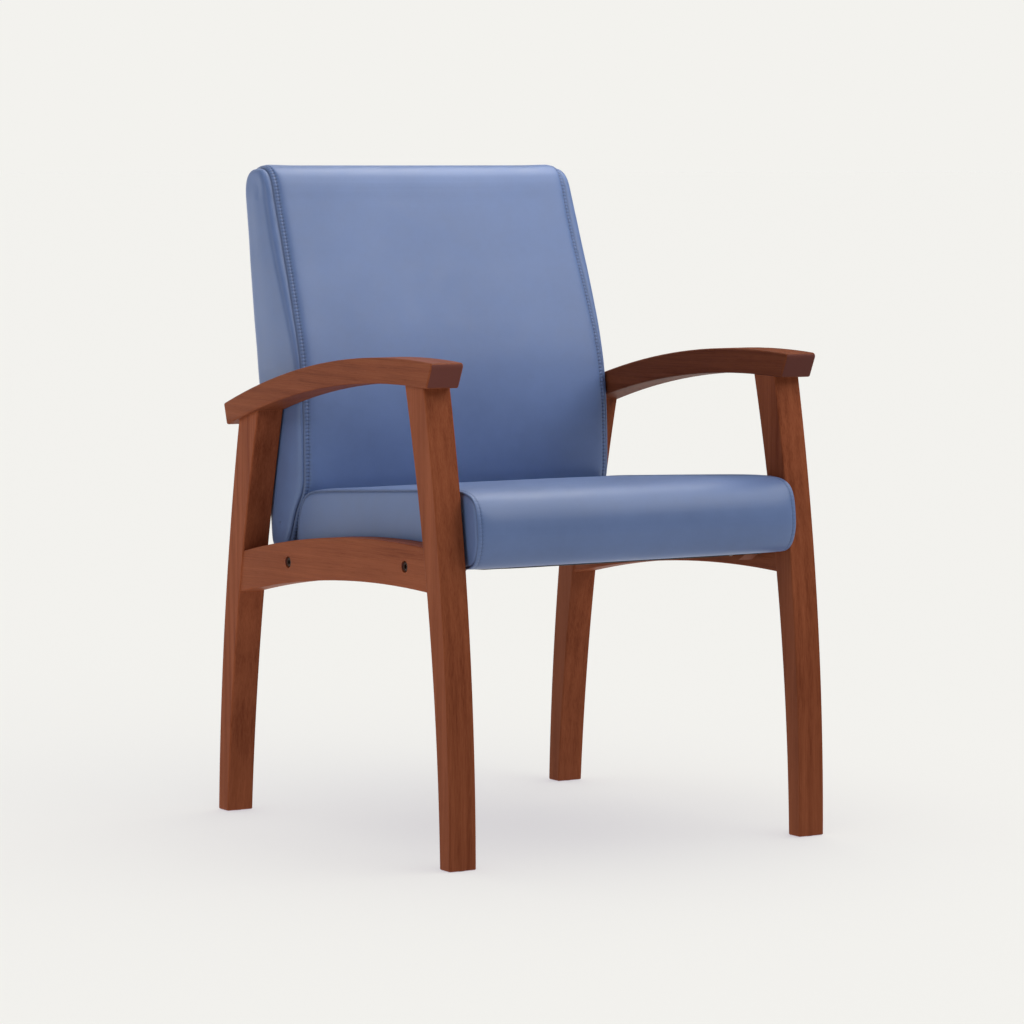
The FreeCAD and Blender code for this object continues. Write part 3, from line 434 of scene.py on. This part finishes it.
class Cushion:
    """A boxed cushion: a main panel wrapped round a closed profile and two side panels, sewn together.

    half_a, half_b: the crown's two halves, both from the first tip to the second, in plane coordinates (mm).
    to_yz: plane coordinates to (y, z) in mm.
    seam_x: the seam's x.   inset: how far the sewn edge is pulled below the crown.
    reach: how far in from the seam that pull is felt, 1 for the usual 40 mm.
    puff: how far the side panel stands out past the seam.
    edge: (d, h) of the main panel beside the seam, d inwards, h over the pulled edge.
    lip: (e, x) of the side panel beside the seam, e towards the spine, x outwards in shares of puff.
    row: the top-stitch's distance from the seam.   slack: room that the filling swells into.
    pull: (d, share) of the inset felt at d from the seam.   pucker: depth of the gathers at the needle holes.
    mark: how dark the painted shade makes the gathers and the needle line.   dark: the same painted shade for the seam.
    side_x: the side panel's half width at a plane point, away from the seam.
    """

    def __init__(self, half_a, half_b, count, to_yz, seam_x, inset, reach, puff, edge, lip, row, spine, bulge, slack, free,
                 pull, pucker, mark, dark, side_x):
        self.PULL, self.pucker, self.mark, self.dark, self.side_x = np.array(pull), pucker, mark, dark, side_x
        a, b = resample(half_a, count + 1), resample(half_b, count + 1)
        self.loop = np.vstack([a[:-1], b[::-1][:-1]])
        self.m, self.k = 2 * count, count
        t = np.roll(self.loop, -2, 0) - np.roll(self.loop, 2, 0)
        t /= np.linalg.norm(t, axis=1)[:, None]
        nrm = np.stack([-t[:, 1], t[:, 0]], 1)
        if np.sum((self.loop - self.loop.mean(0)) * nrm) < 0:
            nrm = -nrm
        nrm = smooth_closed(nrm, 20)
        self.nrm = nrm / np.linalg.norm(nrm, axis=1)[:, None]
        self.to_yz = to_yz

        def per_point(fn):
            return smooth_closed(np.array([fn(p, n) for p, n in zip(self.loop, self.nrm)], float), 40)

        self.xs, self.inset, self.reach, self.puff = per_point(seam_x), per_point(inset), per_point(reach), per_point(puff)
        self.free = per_point(free)
        self.edge, self.lip = edge, lip
        self.row = row
        self.bulge, self.slack = bulge, slack
        self.spine = np.array([spine(p) for p in self.loop])
        self.phase = np.zeros(self.m)
        row_at = self.main_ring(row, np.interp(row, [q[0] for q in edge[6:]], [q[1] for q in edge[6:]]), 1)[0]
        step = np.linalg.norm(np.roll(row_at, -1, 0) - row_at, axis=1)
        run = np.r_[0, np.cumsum(step)]
        self.count = int(round(run[-1] / PITCH))
        self.phase = run[:-1] / run[-1] * self.count

    def main_ring(self, d, h, side, swell=0.0):
        pull = np.interp(np.maximum(d, 0.0) / self.reach, self.PULL[:, 0], self.PULL[:, 1])
        pucker = self.pucker * self.near(d) * self.beat()
        free = ease(np.asarray(d, float), 9.0, 60.0) * self.free
        height = h - self.inset * pull - pucker - swell * free
        q = self.loop + self.nrm * height[:, None]
        yz = self.to_yz(q)
        x = side * (self.xs - d)
        return np.column_stack([np.broadcast_to(x, (self.m,)), yz]), free

    def near(self, d):
        """1 on the strip between the seam and the needle row, 0 away from it."""
        return np.interp(d, [0.2, 1.6, 3.6, 6.6, 7.6, 9.0, 10.5], [0.0, 0.55, 0.9, 1.0, 0.7, 0.15, 0.0]) if np.ndim(d) == 0 else 0.0

    def beat(self):
        return (0.5 + 0.5 * np.cos(2 * np.pi * self.phase)) ** 2

    def seam_plane(self):
        d, h = self.edge[0]
        return self.loop + self.nrm * (h - self.inset)[:, None]

    def side_ring(self, e, off, side, share=None):
        q0 = self.seam_plane()
        way = self.spine - q0
        full = np.linalg.norm(way, axis=1)
        ee = np.full(self.m, float(e)) if share is None else e + (full - e) * share
        q = q0 + way * (ee / full)[:, None]
        yz = self.to_yz(q)
        x = self.xs - self.edge[0][0] + off * self.puff
        if share is not None:
            x = x + (np.array([self.side_x(t) for t in q]) - x) * min(1.0, 1.25 * share) + self.bulge * math.sin(0.5 * math.pi * share)
        x = side * x
        return np.column_stack([x, yz]), ease(ee, 10.0, 26.0) * (self.free > 0.5)

    def mesh(self, name, mat, swell):
        rings, freedom, crease_shades = [], [], []

        def add(ring, crease_shade=0.0):
            rings.append(ring[0])
            freedom.append(ring[1])
            crease_shades.append(np.broadcast_to(crease_shade, (self.m,)))
            return len(rings) - 1

        last = self.edge[-1][0]
        left, right = [], []
        for side, book in ((-1, left), (1, right)):
            for n, (d, h) in enumerate(self.edge):
                # painted shade: the rings at the seam and along the needle row carry crease_shade, which darkens the
                # cover there
                seam_shade_share = (1.0, 0.9, 0.7, 0.45, 0.2, 0.05)[n] if n < 6 else 0.0
                line = 0.45 * max(0.0, 1.0 - abs(d - self.row) / 0.9)
                book.append(add(self.main_ring(d, h, side, swell), np.maximum(self.dark * seam_shade_share, self.mark * np.maximum(line, self.near(d) * self.beat()))))
            for share in CENTRE:
                book.append(add(self.main_ring(last + (self.xs - last) * share, 0.0, side, swell)))
        m = self.m
        i = np.arange(m)
        j = (i + 1) % m
        quads = []

        def strip(a, b, flip=False):
            f = np.column_stack([a * m + i, a * m + j, b * m + j, b * m + i])
            quads.append(f[:, ::-1] if flip else f)

        chain = left + right[::-1]
        for a, b in zip(chain, chain[1:]):
            strip(a, b)
        tris = []
        for side, start in ((-1, left[0]), (1, right[0])):
            prev = start
            for n, (e, off) in enumerate(self.lip):
                # painted shade on the side panel, fading away from the seam
                cur = add(self.side_ring(e, off, side), self.dark * max(0.0, 1.0 - 0.34 * (n + 1)))
                strip(prev, cur, side < 0)
                prev = cur
            e, off = self.lip[-1]
            for share in TO_SPINE:
                cur = add(self.side_ring(e, off, side, share))
                strip(prev, cur, side < 0)
                prev = cur
            k, o = self.k, prev * m
            cap = [(o, o + 1, o + m - 1)] + [(o + q, o + q + 1, o + m - q - 1, o + m - q) for q in range(1, k - 1)]
            cap += [(o + k - 1, o + k, o + k + 1)]
            tris += cap if side > 0 else [f[::-1] for f in cap]
        verts = np.vstack(rings) * MM
        faces = [tuple(f) for f in np.vstack(quads).tolist()] + tris
        ob = new_object(name, verts, faces, mat)
        bm = bmesh.new()
        bm.from_mesh(ob.data)
        bmesh.ops.recalc_face_normals(bm, faces=bm.faces)
        bm.to_mesh(ob.data)
        bm.free()
        ob.data.attributes.new("crease_shade", "FLOAT", "POINT").data.foreach_set("value", np.concatenate(crease_shades).astype(np.float32))
        return ob, np.concatenate([np.broadcast_to(f, (m,)) for f in freedom])

    def row_points(self, side):
        h = np.interp(self.row, [q[0] for q in self.edge[6:]], [q[1] for q in self.edge[6:]])
        return self.main_ring(self.row, h, side)[0]


def coords(me):
    v = np.empty(len(me.vertices) * 3)
    me.vertices.foreach_get("co", v)
    return v.reshape(-1, 3)


def fill(ob, free, amount, cap, voxel=0.006, frames=16):
    """Cloth with inner pressure on a remeshed copy, sewn down at its edges; the outward swell is carried back."""
    dup = bpy.data.objects.new(ob.name + "_fill", ob.data.copy())
    scene.collection.objects.link(dup)
    rm = dup.modifiers.new("voxels", "REMESH")
    rm.mode, rm.voxel_size = "VOXEL", voxel
    solid = bpy.data.meshes.new_from_object(dup.evaluated_get(bpy.context.evaluated_depsgraph_get()))
    dup.modifiers.clear()
    dup.data = solid
    start = coords(solid)
    base = coords(ob.data)
    tree = KDTree(len(base))
    for n, c in enumerate(base):
        tree.insert(c, n)
    tree.balance()
    near = np.array([tree.find(c)[1] for c in start])
    sewn = dup.vertex_groups.new(name="sewn")
    hold = 1.0 - free[near]
    for n in np.nonzero(hold > 0.02)[0]:
        sewn.add([int(n)], float(hold[n]), "REPLACE")
    cl = dup.modifiers.new("filling", "CLOTH")
    s = cl.settings
    s.quality, s.mass = 4, 0.5
    s.tension_stiffness = s.compression_stiffness = 40.0
    s.shear_stiffness, s.bending_stiffness = 20.0, 4.0
    s.use_pressure, s.uniform_pressure_force = True, 4.0
    s.effector_weights.gravity = 0.0
    s.vertex_group_mass = "sewn"
    cl.point_cache.frame_start, cl.point_cache.frame_end = 1, frames + 2
    for f in range(1, frames + 1):
        scene.frame_set(f)
    end = coords(dup.evaluated_get(bpy.context.evaluated_depsgraph_get()).data)
    nrm = np.empty(len(solid.vertices) * 3)
    solid.vertex_normals.foreach_get("vector", nrm)
    out = np.sum((end - start) * nrm.reshape(-1, 3), 1)
    scene.frame_set(1)
    bpy.data.objects.remove(dup)
    grow = np.mean(out[free[near] > 0.9])
    if grow > 1e-5:
        out *= amount / grow
    out = np.clip(out, -0.3 * cap, cap)
    pair = np.empty(len(solid.edges) * 2, int)
    solid.edges.foreach_get("vertices", pair)
    a, b = pair.reshape(-1, 2).T
    count = np.bincount(a, minlength=len(out)) + np.bincount(b, minlength=len(out))
    for _ in range(40):
        out = 0.4 * out + 0.6 * (np.bincount(a, out[b], len(out)) + np.bincount(b, out[a], len(out))) / np.maximum(count, 1)
    tree = KDTree(len(start))
    for n, c in enumerate(start):
        tree.insert(c, n)
    tree.balance()
    move = np.zeros(len(base))
    for n in np.nonzero(free > 0.001)[0]:
        got = tree.find_n(base[n], 9)
        w = np.array([math.exp(-(g[2] / 0.008) ** 2) + 1e-6 for g in got])
        move[n] = np.dot(w, out[[g[1] for g in got]]) / w.sum() * free[n]
    nrm = np.empty(len(base) * 3)
    ob.data.vertex_normals.foreach_get("vector", nrm)
    ob.data.vertices.foreach_set("co", (base + nrm.reshape(-1, 3) * move[:, None]).ravel())
    ob.data.update()
    print("fill", ob.name, len(start), "mean", round(float(grow) * 1000, 2), "mm, used", round(float(move.max()) * 1000, 2))


def build(cushion, name, cap):
    ob, free = cushion.mesh(name, VINYL_MAT, cushion.slack)
    fill(ob, free, cushion.slack * MM, cap * MM)
    return ob


# ---------------------------------------------------------------- seat
SEAT_TILT = math.radians(3.6)
SEAT_Y0, SEAT_Z0 = -319.0 + SHIFT, 394.3


def seat_yz(q):
    q = np.asarray(q, float)
    s, n = q[..., 0], q[..., 1]
    return np.stack([SEAT_Y0 + s * math.cos(SEAT_TILT) + n * math.sin(SEAT_TILT),
                     SEAT_Z0 - s * math.sin(SEAT_TILT) + n * math.cos(SEAT_TILT)], -1)


SEAT_TOP = catmull([(-14.6, 44), (-14.2, 54), (-12.6, 65), (-9.2, 75.6), (-3.4, 85.2), (5.2, 93.4), (16.5, 99.5), (30.5, 103.6), (49, 105.9), (80, 106.8),
                    (200, 106.8), (320, 106.3), (400, 105.7), (428, 104.5), (445, 101.6), (457, 96.6), (467.5, 86.6), (475, 74), (479.8, 59.5), (483, 43)])
SEAT_LOW = catmull([(-14.6, 44), (-14.3, 37), (-13.0, 29.5), (-10.4, 21.5), (-6.0, 13), (1.0, 5.6), (9.5, 1.3), (20, -0.6), (34, -1.0), (60, -1.0), (200, -1.0), (340, -1.0),
                    (440, -1.0), (464, 0.2), (474, 4.5), (479.5, 14), (482, 28), (483, 43)])
seat = Cushion(
    SEAT_TOP, SEAT_LOW, 600, seat_yz,
    seam_x=lambda q, n: 252.6 + 0.9 * max(0.0, -n[0]) ** 2,
    inset=lambda q, n: 2.0 * max(0.0, -n[0]) ** 2 + 2.0 * max(0.0, n[1]) ** 2 - 18.0 * max(0.0, -n[0]) ** 2 * max(0.0, n[1]) ** 2 + 1.5 * max(0.0, n[0]) ** 2 + 0.6 * max(0.0, -n[1]) ** 2,
    reach=lambda q, n: 1.0,
    puff=lambda q, n: 1.0,
    edge=[(1.3, -3.2), (0.7, -2.7), (0.15, -2.0), (-0.15, -1.3), (0.0, -0.65), (0.55, -0.18), (1.4, 0.06), (2.3, 0.12), (3.3, 0.08), (4.3, -0.06), (5.0, -0.28), (5.7, -0.58),
          (6.3, -0.44), (7.0, -0.2), (7.9, -0.04), (9.2, 0), (11.2, 0), (13, 0), (15.5, 0), (18.5, 0), (22, 0), (26.5, 0), (32, 0), (39, 0), (47, 0)],
    lip=[(0.45, 0.15), (0.9, 0.7), (1.5, 1.35), (2.2, 1.85), (3.2, 2.2), (5.0, 2.42), (8.0, 2.55), (12.5, 2.7), (19.0, 2.9)],
    row=5.7, spine=lambda q: (min(max(q[0], 44.0), 430.0), 52.0), bulge=0.9, slack=1.2,
    free=lambda q, n: 1.0 if n[1] > -0.3 and q[0] < 446 else 0.0,
    pull=[(0, 1.0), (4, 0.87), (6.5, 0.80), (9, 0.63), (12, 0.44), (16, 0.27), (22, 0.12), (30, 0.035), (40, 0.0)], pucker=0.20, mark=0.20, dark=0.62,
    side_x=lambda q: 253.6)
seat_ob = build(seat, "seat_cushion", 3.4)

# ---------------------------------------------------------------- back
BACK_FRONT = [(211, 377.4), (196, 378.4), (188.5, 386), (179, 404), (167.5, 430), (159.5, 443), (151.5, 454), (145.5, 465), (142.2, 478), (141.3, 500), (141.8, 540),
              (143.4, 575), (147.0, 610), (153.6, 646), (164.2, 683), (177.8, 720), (192.6, 758), (208.2, 796), (236.4, 871), (241.2, 886), (246.0, 898.3), (252.4, 908.4),
              (261, 915.8), (271.5, 920.3), (284, 921.9)]
BACK_REAR = [(211, 377.4), (226, 378.4), (235.5, 386), (244.5, 434), (262, 525), (278, 613), (291, 711), (306.3, 826), (317, 886),
             (315.4, 901.9), (309.5, 912.4), (299, 919.4), (284, 921.9)]


def back_yz(q):
    return np.asarray(q, float) + np.array([SHIFT, 0.0])


def back_mid(z):
    f = np.interp(z, [404, 430, 454, 478, 540, 610, 646, 720, 796, 886], [179, 167.5, 151.5, 142.2, 141.8, 147.0, 153.6, 177.8, 208.2, 241.2])
    r = np.interp(z, [386, 434, 525, 613, 711, 826, 886], [235.5, 244.5, 262, 278, 291, 305.8, 316])
    return 0.5 * (f + r)


def back_seam(q, n):
    return np.interp(q[1], [378, 560, 640, 700, 740, 780, 820, 920], [251.0, 251.0, 250.0, 248.6, 247.2, 245.7, 244.4, 244.0])


def back_full(q, n):
    return np.interp(q[1], [378, 600, 660, 700, 780, 840, 880, 920], [256.6, 257.0, 257.6, 258.8, 259.9, 259.2, 257.8, 255.6])


back = Cushion(
    catmull(BACK_FRONT), catmull(BACK_REAR), 660, back_yz,
    seam_x=back_seam,
    inset=lambda q, n: np.interp(q[1], [378, 430, 480, 560, 880], [0.8, 1.2, 2.6, 3.2, 3.4]) - (1.3 * max(0.0, n[1]) ** 2 if q[1] > 860 else 0.0),
    reach=lambda q, n: 1.0 - 0.55 * max(0.0, n[1]) ** 2 if q[1] > 860 else 1.0,
    puff=lambda q, n: back_full(q, n) - back_seam(q, n),
    edge=[(0.0, -3.4), (0.35, -2.75), (0.75, -2.1), (1.2, -1.5), (1.7, -0.98), (2.3, -0.55), (3.0, -0.24), (3.8, -0.06), (4.6, 0.02), (5.4, -0.1), (6.0, -0.34), (6.6, -0.64),
          (7.2, -0.48), (7.9, -0.22), (8.8, -0.05), (9.8, 0), (11.2, 0), (13, 0), (15.5, 0), (18.5, 0), (22, 0), (26.5, 0), (32, 0), (39, 0), (47, 0)],
    lip=[(-0.2, 0.05), (-0.3, 0.13), (-0.3, 0.24), (-0.1, 0.36), (0.3, 0.50), (1.0, 0.64), (2.1, 0.77), (3.6, 0.87), (5.8, 0.94), (9.0, 0.975), (14.0, 0.99), (20.0, 1.0)],
    row=6.6, spine=lambda q: (back_mid(min(max(q[1], 424.0), 872.0)), min(max(q[1], 424.0), 872.0)), bulge=0.6, slack=1.0,
    free=lambda q, n: 1.0 if q[1] > 470 else 0.0,
    pull=[(0, 1.0), (4, 0.92), (6.5, 0.86), (8, 0.72), (10, 0.48), (12.5, 0.27), (16, 0.12), (22, 0.04), (30, 0.0)], pucker=0.62, mark=0.62, dark=0.50,
    side_x=lambda q: float(back_full(q, None)))
back_ob = build(back, "back_cushion", 3.4)
# The side panels lie flat against the inner faces of the armrests.
co = coords(back_ob.data)
flat = np.interp(co[:, 2] / MM, [628.0, 660.0], [256.9, 262.0]) * MM
co[:, 0] = np.clip(co[:, 0], -flat, flat)
back_ob.data.vertices.foreach_set("co", co.ravel())
back_ob.data.update()

# ---------------------------------------------------------------- stitches


def capsule(p0, p1, up, rad, sink, ring=6):
    """One stitch from p0 to p1: a thread that dips into the cover at both ends."""
    axis = p1 - p0
    length = np.linalg.norm(axis)
    axis = axis / length
    side = np.cross(axis, up)
    side /= np.linalg.norm(side)
    upn = np.cross(side, axis)
    verts, faces = [], []
    prof = [(-0.03, -sink, 0.35), (0.08, -0.15 * sink, 0.85), (0.3, 0.05 * rad, 1.0), (0.7, 0.05 * rad, 1.0), (0.92, -0.15 * sink, 0.85), (1.03, -sink, 0.35)]
    for t, lift, r in prof:
        c = p0 + axis * length * t + upn * lift
        for k in range(ring):
            a = 2 * math.pi * k / ring
            verts.append(c + (side * math.cos(a) + upn * math.sin(a)) * rad * r)
    for j in range(len(prof) - 1):
        for k in range(ring):
            k2 = (k + 1) % ring
            faces.append((j * ring + k, j * ring + k2, (j + 1) * ring + k2, (j + 1) * ring + k))
    faces.append(tuple(range(ring))[::-1])
    faces.append(tuple((len(prof) - 1) * ring + k for k in range(ring)))
    return verts, faces


def stitch_row(cushion, keep, rad, fill_share):
    """Thread and needle holes along the top-stitch on both sides, where keep(plane point, normal) holds."""
    verts, faces, marks = [], [], []
    m = cushion.m
    grid = np.r_[cushion.phase, cushion.count]
    lift = cushion.to_yz(cushion.loop + cushion.nrm) - cushion.to_yz(cushion.loop)
    for side in (-1, 1):
        pts = cushion.row_points(side)
        pts = np.vstack([pts, pts[:1]])
        nrm = np.column_stack([np.zeros(m), lift])
        nrm = np.vstack([nrm, nrm[:1]])

        def at(table, t):
            return np.array([np.interp(t, grid, table[:, c]) for c in range(3)])

        for k in range(cushion.count):
            idx = int(np.searchsorted(grid, k + 0.5)) % m
            if not keep(cushion.loop[idx], cushion.nrm[idx]):
                continue
            p0, p1 = at(pts, k + 0.5 - fill_share / 2), at(pts, k + 0.5 + fill_share / 2)
            up = at(nrm, k + 0.5)
            up /= np.linalg.norm(up)
            v, f = capsule(p0, p1, up, rad, rad * 1.5)
            base = len(verts)
            verts += v
            faces += [tuple(base + x for x in q) for q in f]
            marks.append((at(pts, k), up))
    return verts, faces, marks


def holes(marks, rad, slot, ring=8):
    """Needle holes as small dark discs, shallow cups at the surface; their darkness is painted shade for the depth of
    the holes.
    """
    verts, faces = [], []
    for p, up in marks:
        a = np.cross(up, (1.0, 0.0, 0.0))
        a /= np.linalg.norm(a)
        b = np.cross(up, a)
        base = len(verts)
        for r, h in ((1.0, 0.06), (0.6, 0.20), (0.0, 0.24)):
            if r == 0.0:
                verts.append(p + up * h * rad)
            else:
                for k in range(ring):
                    t = 2 * math.pi * k / ring
                    verts.append(p + (a * slot[0] * math.cos(t) + b * slot[1] * math.sin(t)) * rad * r + up * h * rad)
        for k in range(ring):
            k2 = (k + 1) % ring
            faces.append((base + k, base + k2, base + ring + k2, base + ring + k))
            faces.append((base + ring + k, base + ring + k2, base + 2 * ring))
    return verts, faces


# the rows run over the front, top and rear, not along the bottom where the cover is stapled
sv, sf, sm = stitch_row(seat, lambda q, n: q[1] > 6.0, 0.34, 0.62)
seat_thread = new_object("seat_topstitch", np.array(sv) * MM, sf, THREAD_MAT)
hv, hf = holes(sm, 0.55, (0.8, 1.0))
seat_holes = new_object("seat_needle_holes", np.array(hv) * MM, hf, HOLE_SHADE_MAT)
bv, bf, bm_ = stitch_row(back, lambda q, n: q[1] > 384.0, 0.36, 0.56)
back_thread = new_object("back_topstitch", np.array(bv) * MM, bf, THREAD_MAT)
hv, hf = holes(bm_, 1.05, (0.62, 1.35))
back_holes = new_object("back_needle_holes", np.array(hv) * MM, hf, HOLE_SHADE_MAT)

# ---------------------------------------------------------------- dust cover under the seat


def dust_sheet():
    s_lines = list(np.linspace(28, 330, 24)) + list(np.linspace(340, 470, 12))
    verts, faces = [], []
    cols = 33
    for s in s_lines:
        half = 222.6 if s < 336 else 197.8
        for c in range(cols):
            u = -1 + 2 * c / (cols - 1)
            edge = min(1.0, (1 - abs(u)) * half / 60.0) * min(1.0, (s - 28) / 60.0) * min(1.0, (470 - s) / 60.0)
            sag = 2.6 * edge * (2 - edge) + 0.35 * edge * math.sin(s * 0.11) * math.sin(u * 9.0)
            y, z = seat_yz((s, -1.7 - sag))
            verts.append((u * half, y, z))
    for r in range(len(s_lines) - 1):
        for c in range(cols - 1):
            a = r * cols + c
            faces.append((a, a + 1, a + cols + 1, a + cols))
    ob = new_object("dust_cover", np.array(verts) * MM, faces, cloth("dust_cloth", (0.022, 0.022, 0.024), 0.0009, 0.9))
    so = ob.modifiers.new("cloth", "SOLIDIFY")
    so.thickness, so.offset = 0.0006, 0.0
    return ob


dust = dust_sheet()

# ---------------------------------------------------------------- what rides on what
for ob in (seat_ob, back_ob, seat_thread, seat_holes, back_thread, back_holes, dust):
    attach(ob, "root")
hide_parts("seat_cover_main", "seat_cover_side_left", "seat_cover_side_right", "seat_foam")
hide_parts("back_cover_main", "back_cover_side_left", "back_cover_side_right", "back_foam", "back_rear_foam")
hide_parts("seat_dust_cover")

# ---------------------------------------------------------------- floor and light
FLOOR_GLOW = (0.491, 0.473, 0.525)      # what a white sweep still shows where no overhead light gets
FLOOR_LIT = (0.405, 0.415, 0.330)       # what the overhead light adds to it
HORIZON = (0.896, 0.888, 0.855)


def floor():
    """A pale seamless sweep: one part glows evenly, the other takes the soft shade under the chair."""
    mat = bpy.data.materials.new("pale_floor")
    mat.use_nodes = True
    t = mat.node_tree
    t.nodes.clear()
    out, add = t.nodes.new("ShaderNodeOutputMaterial"), t.nodes.new("ShaderNodeAddShader")
    glow, lit = t.nodes.new("ShaderNodeEmission"), t.nodes.new("ShaderNodeBsdfDiffuse")
    glow.inputs["Color"].default_value = (*FLOOR_GLOW, 1.0)
    lit.inputs["Color"].default_value = (*FLOOR_LIT, 1.0)
    t.links.new(glow.outputs[0], add.inputs[0])
    t.links.new(lit.outputs[0], add.inputs[1])
    t.links.new(add.outputs[0], out.inputs["Surface"])
    half = 400.0
    ob = new_object("floor", [(-half, -half, 0), (half, -half, 0), (half, half, 0), (-half, half, 0)], [(0, 1, 2, 3)], mat, False)
    ob.visible_diffuse = False
    ob.visible_shadow = False
    return ob


floor_ob = floor()

# the floor has its own broad overhead light; the chair's panels leave the floor out
floor_only = bpy.data.collections.new("floor_only")
floor_only.objects.link(floor_ob)
but_floor = bpy.data.collections.new("all_but_floor")
but_floor.objects.link(floor_ob)
but_floor.collection_objects[0].light_linking.link_state = "EXCLUDE"


def aim(ob, target):
    ob.rotation_euler = (ob.location - Vector(target)).to_track_quat("Z", "Y").to_euler()


def panel(name, at, size, energy, target=(0.0, 0.0, 0.6), colour=(1, 1, 1)):
    """A square soft box that lights the chair."""
    d = bpy.data.lights.new(name, "AREA")
    d.shape, d.size, d.energy, d.color = "SQUARE", size, energy, colour
    o = bpy.data.objects.new(name, d)
    scene.collection.objects.link(o)
    o.location = at
    aim(o, target)
    o.visible_camera = False
    o.light_linking.receiver_collection = but_floor
    return o


def polar(azimuth, elevation, dist, height=0.6):
    """azimuth as seen from the chair: 0 from the front (-Y), 90 from +X."""
    a, e = math.radians(azimuth), math.radians(elevation)
    return (math.sin(a) * math.cos(e) * dist, -math.cos(a) * math.cos(e) * dist, height + math.sin(e) * dist)


panel("key_front", (0.75, -0.75, 2.4), 1.0, 7.0, (0.0, 0.0, 0.55))
panel("key_top", (0.8, 0.5, 2.4), 1.2, 23.0, (0.0, 0.0, 0.55))
panel("side_right", polar(60, 30, 2.3), 1.0, 5.5)
panel("key_right", polar(60, 50, 2.3), 1.0, 6.0)
panel("front_right", polar(33, 27, 2.6), 0.7, 10.0)
panel("front_right_top", polar(33, 45, 2.6), 0.9, 6.0)
panel("left_high", (-1.8, 0.2, 1.8), 1.2, 4.5, (0.0, 0.0, 0.55))
panel("left_low", (-2.2, -0.3, 0.5), 1.0, 4.0, (0.0, 0.0, 0.45))
panel("rear_left", (-1.7, 1.7, 1.1), 1.4, 3.0, (0.0, 0.0, 0.55))
panel("front_left", polar(-65, 30, 2.6), 0.8, 8.0)
panel("backdrop", (0.0, 2.6, 1.5), 3.0, 24.0, (0.0, 0.0, 0.9))

sky = bpy.data.lights.new("floor_light", "SUN")
sky.energy, sky.angle = 3.35, math.radians(140)
sky_ob = bpy.data.objects.new("floor_light", sky)
scene.collection.objects.link(sky_ob)
sky_ob.rotation_euler = Vector((0.45, -0.15, 1.0)).to_track_quat("Z", "Y").to_euler()
sky_ob.light_linking.receiver_collection = floor_only

world = bpy.data.worlds.new("studio")
scene.world = world
world.use_nodes = True
wt = world.node_tree
wt.nodes.clear()
w_out = wt.nodes.new("ShaderNodeOutputWorld")
w_bg = wt.nodes.new("ShaderNodeBackground")
w_tc = wt.nodes.new("ShaderNodeTexCoord")
w_sep = wt.nodes.new("ShaderNodeSeparateXYZ")
w_ramp = wt.nodes.new("ShaderNodeValToRGB")
w_map = wt.nodes.new("ShaderNodeMapRange")
w_map.inputs["From Min"].default_value, w_map.inputs["From Max"].default_value = -1.0, 1.0
wt.links.new(w_tc.outputs["Generated"], w_sep.inputs[0])
wt.links.new(w_sep.outputs["Z"], w_map.inputs["Value"])
wt.links.new(w_map.outputs[0], w_ramp.inputs["Fac"])
wt.links.new(w_ramp.outputs[0], w_bg.inputs["Color"])
# what the camera sees past the floor is plain; the chair is lit by the graded sky
w_flat = wt.nodes.new("ShaderNodeBackground")
w_flat.inputs["Color"].default_value = (*HORIZON, 1.0)
w_path, w_mix = wt.nodes.new("ShaderNodeLightPath"), wt.nodes.new("ShaderNodeMixShader")
wt.links.new(w_path.outputs["Is Camera Ray"], w_mix.inputs[0])
wt.links.new(w_bg.outputs[0], w_mix.inputs[1])
wt.links.new(w_flat.outputs[0], w_mix.inputs[2])
wt.links.new(w_mix.outputs[0], w_out.inputs["Surface"])
el = w_ramp.color_ramp.elements
stops = [(0.0, (0.60, 0.60, 0.60)), (0.494, (0.60, 0.60, 0.60)), (0.504, (0.03, 0.03, 0.03)), (1.0, (0.03, 0.03, 0.03))]
while len(el) < len(stops):
    el.new(0.5)
for e, (p, c) in zip(el, stops):
    e.position = p
    e.color = (*c, 1.0)

scene.view_settings.view_transform = "Standard"
scene.view_settings.look = "None"
